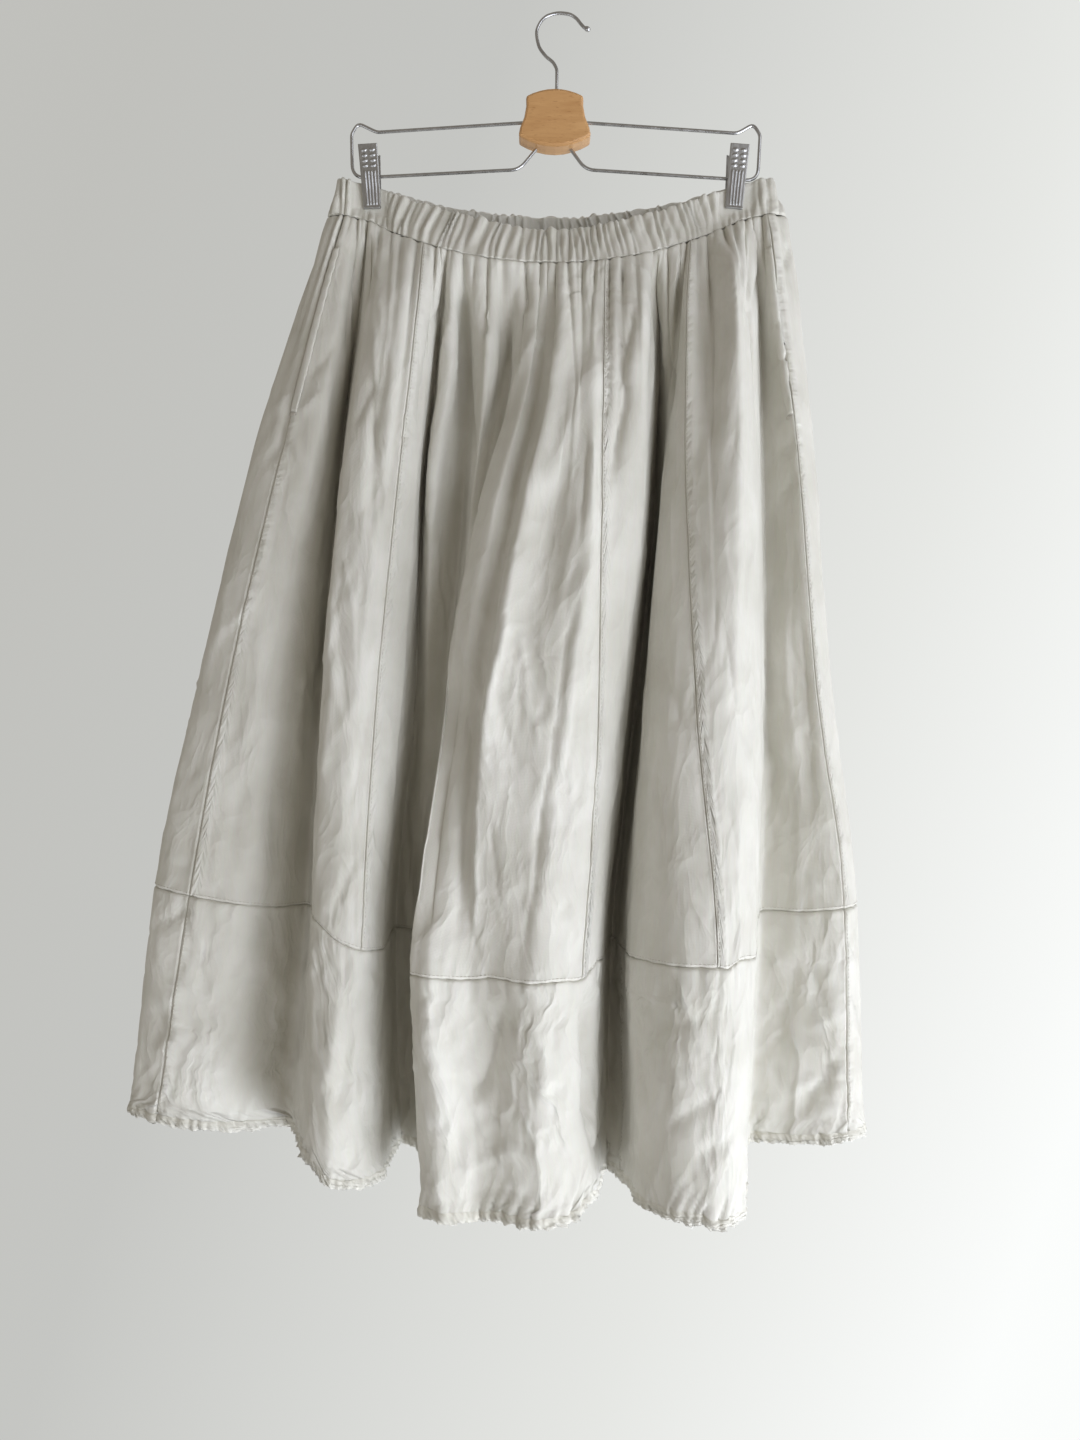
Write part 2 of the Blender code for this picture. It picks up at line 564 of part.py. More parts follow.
def build_skirt():
    gores = skirt_ring(GORE_ROWS)
    build_waistband(gores)
    for name, first, last in GORES:
        panel(name, gores, first, last)
    bands = skirt_ring(BAND_ROWS)
    for name, first, last in HEM_BANDS:
        panel(name, bands, first, last)
    for seed, (name, first, last, waves) in enumerate(FRILLS):
        frill(name, bands, first, last, waves, SEED_FRILL + seed)
    pocket_edge("pocket_edge_right", "side_seam_right", -1)
    pocket_edge("pocket_edge_left", "side_seam_left", 1)


# --- the hanger -----------------------------------------------------------------------------------
# Outline of the wooden hub, (x, z) down its left side; the right side is wider apart in the same way.
HUB_MIDDLE = -4.4
HUB_SIDE = ((23.4, -70.6), (23.2, -78.5), (24.8, -87.5), (28.2, -96.0), (29.6, -102.8))
HUB_TOP, HUB_BOTTOM, HUB_THICK = -64.6, -111.6, 18.0
HUB_ROUNDING = 2.0
ARCH_STEPS = 8
# The hook's centre line and the wire frames' corners, (x, z), with the radius of each bend.
HOOK_PATH = ((-2.8, -64.1), (-2.6, -46.0), (-5.0, -40.0), (-12.0, -33.5), (-17.5, -25.0),
             (-19.2, -15.0), (-16.0, -6.2), (-9.5, -0.6), (0.0, 1.4), (7.5, 0.5), (13.2, -2.8),
             (17.6, -8.0), (20.6, -11.0), (24.4, -12.8))
FRAME_LEFT = ((-30.6, -88.6, 0), (-150.0, -96.4, 12), (-165.5, -88.9, 7), (-170.8, -98.0, 9),
              (-170.2, -134.0, 11), (-33.5, -126.9, 16), (-19.7, -110.5, 0))
FRAME_RIGHT = ((21.8, -88.6, 0), (145.5, -97.2, 12), (158.5, -89.6, 7), (164.0, -98.5, 9),
               (162.0, -136.1, 10), (21.0, -126.9, 16), (9.2, -110.9, 0))
HOOK_POINTS = 26
TIP = (1.2, 2.8, 4.4, 5.4)                # points of the hook's ball end, along the wire from its neck
TIP_SWELLS = (1.0, 1.2, 1.5, 1.3, 0.6)    # how thick the neck and each of those points is, times the wire
BEND_STEPS = (0.0, 0.33, 0.67, 1.0)       # places along each bend of a frame wire
MOST_OF_A_RUN = 0.45                      # that a bend may take from the straight run beside it
SPRING_Z = {CLIP_LEFT: -133.2, CLIP_RIGHT: -135.0}   # the wire's height in each clip
# Side view of a clip plate, from its lip up to its handle: Z and outward Y of the outer face, and wall.
Station = namedtuple("Station", "z out wall half_width")
CLIP_SIDE = (
    Station(-160.3, 4.8, PAD_WALL, 7.0),
    Station(-146.5, 5.2, PAD_WALL, 7.3),
    Station(-138.5, 6.6, PLATE_WALL, 7.4),
    Station(-126.0, 8.3, PLATE_WALL, 7.6),
    Station(-111.0, 11.3, PLATE_WALL, 7.8),
)
RIBS = 4
RIB_HALF_WIDTH = 0.9
RIBS_BOTTOM, RIBS_TOP = -159.0, -130.0
RIBS_IN = 2.2             # from the plate's side to the first rib
FLANGE_WALL, FLANGE_DEPTH, FLANGE_EDGE = 1.0, 2.0, 0.5
FLANGE_ROUND = 0.3        # where the turned-in edge meets the flat
CLIP_LEAN = {CLIP_LEFT: math.radians(-3.4), CLIP_RIGHT: math.radians(4.6)}
SPRING_RADIUS = {CLIP_LEFT: 5.5, CLIP_RIGHT: 5.0}
SPRING_HOLE, SPRING_LENGTH, SPRING_SIDES = 1.9, 9.0, 12


def rounded(corners):
    """Points along a path of straight runs whose corners (x, z, radius) are turned into arcs."""
    points = [np.array(corners[0][:2], float)]
    for before, corner, after in zip(corners, corners[1:], corners[2:]):
        here = np.array(corner[:2], float)
        back = np.array(before[:2]) - here
        on = np.array(after[:2]) - here
        room = MOST_OF_A_RUN * min(np.linalg.norm(back), np.linalg.norm(on))
        back, on = back / np.linalg.norm(back), on / np.linalg.norm(on)
        half = math.acos(np.clip(np.dot(back, on), -1, 1)) / 2
        cut = min(corner[2] / math.tan(half), room)
        for t in BEND_STEPS:
            a, b = here + back * cut, here + on * cut
            points.append(a * (1 - t) ** 2 + here * 2 * t * (1 - t) + b * t**2)
    points.append(np.array(corners[-1][:2], float))
    return points


def wire(name, points, swells=()):
    """A round wire along (x, z) points in the hanger's plane; swells are the thickness of its last points."""
    curve = bpy.data.curves.new(name, "CURVE")
    curve.dimensions = "3D"
    curve.bevel_depth = WIRE / 2 * MM
    curve.bevel_resolution = 1
    curve.use_fill_caps = True
    spline = curve.splines.new("POLY")
    spline.points.add(len(points) - 1)
    for place, (x, z) in zip(spline.points, points):
        place.co = (x * MM, 0, z * MM, 1)
    for place, swell in zip(list(spline.points)[len(points) - len(swells):], swells):
        place.radius = swell
    obj = bpy.data.objects.new(name, curve)
    bpy.context.scene.collection.objects.link(obj)
    return finish(obj, STEEL)


def hook():
    path = np.array(HOOK_PATH, float)
    run = np.concatenate([[0], np.cumsum(np.linalg.norm(np.diff(path, axis=0), axis=1))])
    places = np.linspace(0, run[-1] - TIP[-1], HOOK_POINTS)
    points = np.stack([smooth(run, path[:, k], places) for k in range(2)], -1)
    way = (path[-1] - path[-2]) / np.linalg.norm(path[-1] - path[-2])
    tip = [points[-1] + way * off for off in TIP]
    return wire("hook_wire", [*points, *tip], TIP_SWELLS)


def hub():
    """A wooden block with an arched top and bottom; the wires end just short of its faces."""
    left = [(HUB_MIDDLE - x, z) for x, z in HUB_SIDE]
    right = [(HUB_MIDDLE + x, z) for x, z in reversed(HUB_SIDE)]
    foot_x, foot_z = HUB_SIDE[-1]
    top_x, top_z = HUB_SIDE[0]
    outs = [2 * k / ARCH_STEPS - 1 for k in range(1, ARCH_STEPS)]
    arch = [(HUB_MIDDLE + foot_x * out, between(HUB_BOTTOM, foot_z, out**2)) for out in outs]
    crown = [(HUB_MIDDLE - top_x * out, between(HUB_TOP, top_z, out**2)) for out in outs]
    outline = left + arch + right + crown
    mesh = bpy.data.meshes.new("hub_block")
    shape = bmesh.new()
    near = [shape.verts.new((x * MM, -HUB_THICK / 2 * MM, z * MM)) for x, z in outline]
    face = shape.faces.new(near)
    moved = bmesh.ops.extrude_face_region(shape, geom=[face])["geom"]
    far = [item for item in moved if isinstance(item, bmesh.types.BMVert)]
    bmesh.ops.translate(shape, verts=far, vec=(0, HUB_THICK * MM, 0))
    bmesh.ops.recalc_face_normals(shape, faces=shape.faces)
    shape.to_mesh(mesh)
    shape.free()
    obj = bpy.data.objects.new("hub_block", mesh)
    bpy.context.scene.collection.objects.link(obj)
    bevel = obj.modifiers.new("rounding", "BEVEL")
    bevel.width = HUB_ROUNDING * MM
    bevel.segments = 2
    bevel.limit_method = "ANGLE"
    bevel.angle_limit = math.radians(50)
    mesh.shade_smooth()
    return finish(obj, BLOND_WOOD)


def plate_profile(half_width, turned_in, ribbed):
    """(across, raise) of a clip plate's outer face: turned-in edges, a flat and raised ribs."""
    flat = half_width - FLANGE_WALL - FLANGE_ROUND
    profile = [(-half_width, -turned_in), (-half_width, -FLANGE_EDGE), (-flat, 0.0)]
    pitch = 2 * (half_width - RIBS_IN) / RIBS
    tall = RIB_HEIGHT if ribbed else 0.0
    for k in range(RIBS):
        middle = -half_width + RIBS_IN + pitch * (k + 0.5)
        profile += [(middle - RIB_HALF_WIDTH, 0.0), (middle, tall), (middle + RIB_HALF_WIDTH, 0.0)]
    return profile + [(flat, 0.0), (half_width, -FLANGE_EDGE), (half_width, -turned_in)]


def clip_plate(name, x, side):
    """One sprung plate of a clip, side -1 in front of the cloth and +1 behind it."""
    lean = CLIP_LEAN[x]
    outer, inner = [], []
    for station in reversed(CLIP_SIDE):
        ribbed = RIBS_BOTTOM < station.z < RIBS_TOP
        rows = ([], [])
        turned_in = station.wall - FLANGE_EDGE if station.wall == PAD_WALL else FLANGE_DEPTH
        for across, raised in plate_profile(station.half_width, turned_in, ribbed):
            back = station.out - station.wall
            edge = min(station.out + raised, station.out + RIB_HEIGHT)
            inside = min(back, edge - FLANGE_EDGE) if raised < 0 else back
            shift = across - math.copysign(FLANGE_WALL * (raised < 0), across)
            for row, along, y in ((rows[0], across, edge), (rows[1], shift, inside)):
                turn = x + along * math.cos(lean) + (station.z - SPRING_Z[x]) * math.sin(lean)
                row.append((turn, side * y, station.z - along * math.sin(lean)))
        outer.append(rows[0] if side < 0 else rows[0][::-1])
        inner.append(rows[1] if side < 0 else rows[1][::-1])
    return wall(name, np.array(outer), np.array(inner), DARK_STEEL)


def clip_spring(name, x):
    """The coil spring that the wire runs through, as one plain sleeve between the plates."""
    mesh = bpy.data.meshes.new(name)
    shape = bmesh.new()
    loops = []
    outside = SPRING_RADIUS[x]
    for radius, end in ((outside, -1), (outside, 1), (SPRING_HOLE, 1), (SPRING_HOLE, -1)):
        loop = []
        for k in range(SPRING_SIDES):
            turn = 2 * math.pi * k / SPRING_SIDES
            y, rise = radius * math.sin(turn), radius * math.cos(turn)
            place = (x + end * SPRING_LENGTH / 2, y, SPRING_Z[x] + rise)
            loop.append(shape.verts.new([value * MM for value in place]))
        loops.append(loop)
    for a, b in zip(loops, loops[1:] + loops[:1]):
        for k in range(SPRING_SIDES):
            after = (k + 1) % SPRING_SIDES
            shape.faces.new((a[k], b[k], b[after], a[after]))
    bmesh.ops.recalc_face_normals(shape, faces=shape.faces)
    shape.to_mesh(mesh)
    shape.free()
    obj = bpy.data.objects.new(name, mesh)
    bpy.context.scene.collection.objects.link(obj)
    return finish(obj, DARK_STEEL)


def build_hanger():
    hook()
    hub()
    wire("frame_wire_left", rounded(FRAME_LEFT))
    wire("frame_wire_right", rounded(FRAME_RIGHT))
    for side, x in (("left", CLIP_LEFT), ("right", CLIP_RIGHT)):
        clip_plate(f"clip_{side}_front", x, -1)
        clip_plate(f"clip_{side}_rear", x, 1)
        clip_spring(f"clip_{side}_spring", x)


def main():
    clear_scene()
    build_hanger()
    build_skirt()


main()
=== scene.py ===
# %% [markdown]
# # A washed cotton cocoon skirt on its clip hanger
# This is a long skirt of pale washed cotton, hung by its gathered waist from a hanger of wire, wood
# and two steel clips. A plain solid model of it is packed already, and is the fixed frame here: every
# piece rides on it, and stands for one of its solids. A skirt could be pulled out of a cylinder and
# sculpted, but then nobody could say where a fold comes from. So the lessons go as a maker would:
# folds, gathers and creases first, then finishes and sewn pieces, and last the hanger and the light.

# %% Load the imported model
import math
from collections import namedtuple

import bpy
import numpy as np
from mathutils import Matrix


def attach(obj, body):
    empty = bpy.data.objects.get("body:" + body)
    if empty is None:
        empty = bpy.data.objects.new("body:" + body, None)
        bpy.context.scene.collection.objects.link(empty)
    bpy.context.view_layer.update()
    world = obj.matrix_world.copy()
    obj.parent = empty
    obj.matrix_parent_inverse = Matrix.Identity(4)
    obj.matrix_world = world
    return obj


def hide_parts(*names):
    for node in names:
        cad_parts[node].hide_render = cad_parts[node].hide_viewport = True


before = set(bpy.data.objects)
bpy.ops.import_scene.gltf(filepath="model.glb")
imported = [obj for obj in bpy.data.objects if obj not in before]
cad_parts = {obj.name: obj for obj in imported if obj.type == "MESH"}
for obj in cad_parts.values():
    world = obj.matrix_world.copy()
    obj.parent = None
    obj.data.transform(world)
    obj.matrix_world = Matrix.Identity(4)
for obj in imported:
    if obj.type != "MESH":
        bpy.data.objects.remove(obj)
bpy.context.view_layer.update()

MM = 0.001


def put(name, data):
    """A new object in the scene that shows a mesh, a curve, a lamp or a camera."""
    obj = bpy.data.objects.new(name, data)
    bpy.context.scene.collection.objects.link(obj)
    return obj


print("nodes:", len(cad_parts))

# %% [markdown]
# ## Sizes
# Eight gores, which are long panels that widen downwards, hang from the waist seam, a band of four
# panels is sewn below them, and a narrow ruffle ends the hem. All sizes are in millimetres, from the
# top of the hanger's hook. A point of the cloth could be named by its height, but height changes
# wherever cloth folds and its length doesn't. So a point is named by its line down the cloth and by
# the length of cloth above it.

# %% Sizes
CLOTH = 1.0                  # how thick the cloth is
GORE_LENGTH = 565.0
HEM_BAND_LENGTH = 176.0
SKIRT_LENGTH = GORE_LENGTH + HEM_BAND_LENGTH
FRILL_LENGTH = 9.5
CLIP_LEFT, CLIP_RIGHT = -155.0, 144.0
CLIP_REACH = 11.0            # from a clip's middle to where the band is free again
PINCH = 2.4                  # from the hanger's plane to the band's middle under a clip
WIRE = 2.8
LEVELS = (0.0, 80.0, 200.0, 380.0, GORE_LENGTH, SKIRT_LENGTH)
ROW_STEP, COLUMN_STEP = 3.9, 3.2
FINE_STEP = 2.2              # between columns on the folds at the front
print("cloth below the waist seam, mm:", SKIRT_LENGTH + FRILL_LENGTH)

# %% [markdown]
# ## Folds in front
# Cloth that is gathered at the waist falls in tall folds, which open towards the hem. A cloth
# simulation makes folds of its own, and never the ones that are wanted. Here each crest, valley and
# seam is a line with a name: how far across it stands at six lengths of cloth, and how deep at the
# last five, where a depth below zero is towards the viewer. Drop is how much lower it ends.

# %% Folds in front
Fold = namedtuple("Fold", "name across depth drop", defaults=(0,))
FRONT_FOLDS = tuple(Fold(*row) for row in (
    ("left_edge", (-189, -214, -250, -290, -328, -347), (0, -5, -10, -13, -13)),
    ("side_seam_left", (-176, -196, -223, -263, -296, -322), (-14, -23, -26, -28, -26)),
    ("left_face", (-168, -178, -197, -228, -257, -285), (-18, -28, -26, -28, -24)),
    ("left_back", (-162, -169, -186, -208, -231, -254), (-10, -12, -9, -8, -4)),
    ("valley_1", (-158, -167, -182, -198, -211, -226), (6, 10, 14, 16, 12)),
    ("second_left", (-154, -156, -168, -182, -189, -194), (-24, -46, -60, -66, -67)),
    ("second_crest", (-138, -139, -153, -162, -171, -176), (-36, -54, -66, -74, -76), 10),
    ("seam_a", (-110, -116, -127, -143, -152, -154), (-38, -50, -60, -70, -63)),
    ("second_right", (-98, -104, -114, -126, -139, -142), (-24, -34, -40, -46, -40), -6),
    ("valley_2", (-93, -100, -112, -120, -136, -132), (0, 2, 8, 14, 14), -12),
    ("small_crest_a", (-86, -88, -103, -110, -122, -118), (-22, -24, -6, 4, 6), -18),
    ("small_valley_a", (-75, -76, -80, -97, -112, -109), (-6, 4, -4, -14, -14), -12),
    ("small_crest_b", (-58, -59, -71, -89, -108, -103), (-30, -23, -30, -38, -40)),
    ("small_valley_b", (-39, -40, -60, -89, -109, -102), (-12, -24, -46, -62, -60)),
    ("middle_left", (-27, -34, -64, -95, -113, -106), (-32, -48, -65, -84, -74)),
    ("middle_crest_a", (-16, -23, -50, -84, -99, -90), (-42, -63, -75, -95, -88)),
    ("middle_groove", (-9, -14, -36, -65, -68, -62), (-38, -58, -78, -84, -77)),
    ("middle_face", (-4, -8, -28, -56, -52, -46), (-54, -76, -93, -88, -82)),
    ("middle_crest_b", (9, 7, -4, -32, -34, -30), (-52, -68, -95, -98, -90)),
    ("middle_dip", (19, 17, 12, -8, -18, -18), (-49, -76, -97, -103, -94)),
    ("middle_crest_c", (28, 25, 23, 10, -2, -4), (-52, -80, -93, -98, -90)),
    ("seam_b", (35, 33, 30, 27, 15, 6), (-50, -74, -82, -87, -82)),
    ("middle_right", (63, 62, 61, 43, 27, 20), (-58, -60, -61, -70, -72)),
    ("middle_edge", (72, 73, 69, 52, 33, 27), (-28, -32, -34, -38, -49)),
    ("valley_3", (77, 82, 79, 62, 43, 37), (8, 16, 16, 8, -16)),
    ("band_seam_front", (86, 86, 82, 66, 50, 49), (-22, -8, -6, -14, -24)),
    ("fourth_left", (96, 93, 79, 64, 53, 60), (-28, -42, -54, -66, -83), 4),
    ("fourth_face", (100, 95, 87, 81, 82, 80), (-36, -54, -84, -105, -102), 10),
    ("seam_c", (104, 98, 95, 99, 112, 101), (-43, -62, -94, -112, -108), 16),
    ("fourth_dip", (119, 118, 112, 114, 120, 110), (-38, -72, -97, -110, -109), 28),
    ("fourth_crest", (135, 135, 134, 130, 131, 122), (-56, -80, -94, -102, -104), 46),
    ("fourth_edge", (150, 152, 151, 151, 146, 135), (-34, -54, -68, -77, -86), 40),
    ("valley_4", (156, 164, 166, 168, 163, 151), (2, -4, -8, -12, -22)),
    ("right_face", (161, 169, 178, 185, 192, 186), (-10, -18, -25, -28, -31)),
    ("side_seam_right", (168, 176, 188, 201, 223, 227), (-19, -29, -35, -37, -35)),
    ("right_edge", (185, 197, 208, 221, 241, 246), (0, -2, -5, -8, -10)),
))
# How sharply the cloth turns at a line, from 0, round, to 1, a knife edge.
CRISP = {"second_left": 0.5, "second_right": 0.6, "valley_2": 0.4, "middle_left": 0.6,
         "middle_groove": 0.4, "middle_edge": 0.6, "valley_3": 0.3, "fourth_left": 0.6,
         "fourth_edge": 0.6, "valley_4": 0.4, "small_crest_b": 0.5, "left_face": 0.3, "right_face": 0.3}
CRISP_ELSEWHERE = 0.15
print("fold lines in front:", len(FRONT_FOLDS))

# %% [markdown]
# ## Folds behind
# The back hangs in soft flutes against a flat plane. It isn't seen in the picture, so it needs no
# table as long as the front's. Each line has only its share of the way from the right edge to the
# left one, at the waist and at the hem, and how far back it stands at the hip and at the hem.

# %% Folds behind
TO_HIP = 0.62                # of the way from the waist's depth to the hip's, at the second level
TO_HEM = (0.5, 0.9)          # of the way from the hip's depth to the hem's, at the next two
BackFold = namedtuple("BackFold", "name share_top share_hem depth_hip depth_hem")
BACK_FOLDS = tuple(BackFold(*row) for row in (
    ("turn_right", 0.015, 0.014, 14, 16),
    ("ridge_1", 0.06, 0.050, 40, 52),
    ("hollow_1", 0.12, 0.105, 27, 29),
    ("seam_back_a", 0.18, 0.175, 49, 62),
    ("hollow_2", 0.24, 0.230, 30, 32),
    ("ridge_3", 0.31, 0.290, 47, 56),
    ("hollow_3", 0.36, 0.355, 28, 30),
    ("ridge_4", 0.43, 0.415, 52, 64),
    ("seam_back_centre", 0.49, 0.470, 38, 44),
    ("hollow_4", 0.53, 0.510, 30, 31),
    ("ridge_5", 0.58, 0.570, 50, 60),
    ("hollow_5", 0.64, 0.635, 29, 32),
    ("ridge_6", 0.70, 0.705, 51, 63),
    ("seam_back_b", 0.76, 0.770, 33, 36),
    ("ridge_7", 0.82, 0.835, 45, 56),
    ("hollow_7", 0.88, 0.895, 27, 30),
    ("ridge_8", 0.935, 0.950, 37, 46),
    ("turn_left", 0.985, 0.986, 14, 16),
))
print("fold lines in all:", len(FRONT_FOLDS) + len(BACK_FOLDS))

# %% [markdown]
# ## Where the waist is held
# Two clips pinch the band. Between them it bows open and sags, most in the middle, and beyond each
# clip it makes a small loop. That could be a curve drawn by hand, but front and back, top and seam
# all need one, and all have to meet. So a few named distances from the clips describe all four. Pairs
# of numbers are for the band's top and for its seam.

# %% Where the waist is held
WaistEnd = namedtuple("WaistEnd", "name top_x bottom_x top_out bottom_out")
WAIST_ENDS = (
    WaistEnd("end", 26.0, 34.0, 0.0, 0.0),
    WaistEnd("round", 24.5, 31.5, 3.6, 4.6),
    WaistEnd("loop", 17.0, 21.0, 5.6, 7.0),
    WaistEnd("clip_outer", CLIP_REACH, CLIP_REACH, PINCH, 5.4),
    WaistEnd("clip_inner", -CLIP_REACH, -CLIP_REACH, PINCH, 6.0),
)
END_EXTRA_RIGHT = (3.6, 6.0)
FRONT_BOW, BACK_BOW = (16.6, 27.0), (11.6, 14.0)
FRONT_SAG, BACK_SAG = (45.0, 44.5), (21.0, 23.0)
SAG_POWER_TOP = 1.55
BAND_TOP, BAND_BOTTOM = -141.0, -171.0
END_RISE, END_RISE_RUN = (4.0, 5.5), 0.18
GRIP_SHARE, GRIP_FADE, GRIP_POWER = 0.72, 5.0, 8
END_TURN = 0.6
SIDE_SEAM_LEFT_X = (-174.0, -176.0)
SIDE_SEAM_RIGHT_X = 168.0
print("the band sags, mm:", FRONT_SAG[0], "in front,", BACK_SAG[0], "behind")

# %% [markdown]
# ## The camera
# The skirt was seen from straight ahead, level, and a little under a metre away. From that near, the
# front folds look larger than the side seams, so a camera further off with a longer lens wouldn't
# match.

# %% The camera
EYE = (-16.4, -955.0, -578.0)
PICTURE = (1080, 1440)
FOCAL = 1165.0            # of the picture, in its own pixels


def make_camera():
    """The eye that the skirt is seen from."""
    data = bpy.data.cameras.new("camera")
    data.sensor_fit = "VERTICAL"
    data.sensor_height = 36.0
    data.lens = 36.0 * FOCAL / PICTURE[1]
    data.clip_start, data.clip_end = 0.05, 30.0
    camera = put("camera", data)
    camera.location = [v * MM for v in EYE]
    camera.rotation_euler = (math.pi / 2, 0, 0)
    bpy.context.scene.camera = camera


def seen_at(points):
    """Where points, in millimetres, are seen in the picture."""
    away = points[..., 1] - EYE[1]
    across = PICTURE[0] / 2 + FOCAL * (points[..., 0] - EYE[0]) / away
    down = PICTURE[1] / 2 - FOCAL * (points[..., 2] - EYE[2]) / away
    return np.stack([across, down], -1)


make_camera()
print("lens:", round(bpy.context.scene.camera.data.lens, 2))

# %% [markdown]
# ## Lines without waves of their own
# A fold line is given at six lengths, and the cloth needs it at two hundred. Blender's curves have
# handles for that, and a plain spline swings past its points, which shows in cloth as a wave that
# nobody made. This cubic takes its slopes from the steps beside each point and is level at a crest or
# a valley, so it never swings past them.

# %% Lines without waves of their own


def between(a, b, share):
    """A mix of two values."""
    return a + (b - a) * share


def smooth(knots, values, places):
    """A cubic through values at knots, with slopes that never overshoot a crest or a valley."""
    knots, values = np.asarray(knots, float), np.asarray(values, float)
    steps = np.diff(knots)
    rises = np.diff(values) / steps
    slopes = np.empty_like(values)
    slopes[0], slopes[-1] = rises[0], rises[-1]
    same_way = rises[1:] * rises[:-1] > 0
    both = np.where(same_way, rises[1:] + rises[:-1], 1)
    slopes[1:-1] = np.where(same_way, 2 * rises[1:] * rises[:-1] / both, 0)
    places = np.clip(places, knots[0], knots[-1])
    seat = np.clip(np.searchsorted(knots, places, side="right") - 1, 0, len(steps) - 1)
    step = steps[seat]
    t = (places - knots[seat]) / step
    return (
        values[seat] * (2 * t**3 - 3 * t**2 + 1)
        + slopes[seat] * step * (t**3 - 2 * t**2 + t)
        + values[seat + 1] * (3 * t**2 - 2 * t**3)
        + slopes[seat + 1] * step * (t**3 - t**2)
    )


print("halfway up to a crest of 1:", float(smooth((0, 1, 2), (0, 1, 0), 0.5)))

# %% [markdown]
# ## The shape of the waist
# Seen from above, the band is a long thin loop that the clips close to a few millimetres. One
# function gives its distance from the hanger's plane, and another its height. The grip of a clip is a
# bump with a flat top, as steel lips hold the cloth flat over their whole width and not at a point.

# %% The shape of the waist


def span_share(x):
    """How far x is from the middle of the hanger: 0 there and 1 at a clip."""
    middle = (CLIP_LEFT + CLIP_RIGHT) / 2
    return np.abs(x - middle) / ((CLIP_RIGHT - CLIP_LEFT) / 2)


def beside_clip(x):
    """How firmly a clip holds the band at x, from 0 to 1."""
    away = np.minimum(np.abs(x - CLIP_LEFT), np.abs(x - CLIP_RIGHT))
    return np.exp(-((away / (CLIP_REACH + GRIP_FADE)) ** GRIP_POWER))


def end_x(side, share):
    """Where the band turns back at its left or right end, share of the way down it."""
    out = between(WAIST_ENDS[0].top_x, WAIST_ENDS[0].bottom_x, share)
    return CLIP_LEFT - out if side < 0 else CLIP_RIGHT + out + between(*END_EXTRA_RIGHT, share)


def waist_plan(x, share, bow):
    """How far the band stands from the hanger's plane at x, share of the way down it."""
    x = np.asarray(x, float)
    lift = np.clip((share - GRIP_SHARE) / (1 - GRIP_SHARE), 0, 1)
    low = between(np.full_like(x, share), lift, beside_clip(x))
    outs = []
    for side, clip in ((-1, CLIP_LEFT), (1, CLIP_RIGHT)):
        reach = np.array([between(row.top_x, row.bottom_x, share) for row in WAIST_ENDS])
        reach = (reach * abs(end_x(side, share) - clip) / reach[0])[::-1]
        tops = np.array([row.top_out for row in WAIST_ENDS])[::-1]
        bottoms = np.array([row.bottom_out for row in WAIST_ENDS])[::-1]
        at = np.clip(side * (x - clip), reach[0], reach[-1])
        outs.append(between(smooth(reach, tops, at), smooth(reach, bottoms, at), low))
    loop = np.where(x < (CLIP_LEFT + CLIP_RIGHT) / 2, outs[0], outs[1])
    half = (CLIP_RIGHT - CLIP_LEFT) / 2
    inner = np.clip(1 - (span_share(x) * half / (half - CLIP_REACH)) ** 2, 0, 1)
    return loop + between(bow[0], bow[1], share) * inner


def waist_height(x, share, sag, power_top):
    """The band's height at x, share of the way down it."""
    u = span_share(x)
    top = BAND_TOP - sag[0] * np.clip(1 - u**power_top, 0, 1)
    bottom = BAND_BOTTOM - sag[1] * np.clip(1 - u**2, 0, 1)
    beyond = np.clip((u - 1) / END_RISE_RUN, 0, 1)
    return between(top + END_RISE[0] * beyond, bottom + END_RISE[1] * beyond, share)


def waist_front(x, share):
    """Points of the front's waist, from its top, 0, to its seam, 1."""
    height = waist_height(x, share, FRONT_SAG, SAG_POWER_TOP)
    return np.stack([x, -waist_plan(x, share, FRONT_BOW), height], -1)


def waist_back(x, share):
    """The same behind."""
    return np.stack([x, waist_plan(x, share, BACK_BOW), waist_height(x, share, BACK_SAG, 2.0)], -1)


lowest = waist_front(np.array([(CLIP_LEFT + CLIP_RIGHT) / 2]), 1.0)[0]
print("lowest point of the waist seam, mm:", lowest.round(1).tolist())

# %% [markdown]
# ## How a line of cloth hangs
# A thread that leans sideways or forwards reaches less far down, since its length stays the same.
# That is why the hem of a full skirt isn't level. Gravity could work this out step by step; here each
# short piece of a line simply falls by what its sideways run leaves of its length, and the front
# folds hang lower by themselves.

# %% How a line of cloth hangs
HANG_POINTS = 149
LEAST_FALL = 0.4             # of a short piece's length, however far it runs sideways


def hang(start, across, depth, lengths, drop=0):
    """Points down one fold line: cloth of each length hangs as low as its sideways run allows."""
    fine = np.linspace(0, LEVELS[-1], HANG_POINTS)
    x, y = smooth(LEVELS, across, fine), smooth(LEVELS, (start[1], *depth), fine)
    step = fine[1]
    least = (LEAST_FALL * step) ** 2
    fall = np.sqrt(np.maximum(step**2 - np.diff(x) ** 2 - np.diff(y) ** 2, least))
    z = start[2] - np.concatenate([[0], np.cumsum(fall)]) - drop * fine / LEVELS[-1]
    return np.stack([smooth(fine, line, lengths) for line in (x, y, z)], -1)


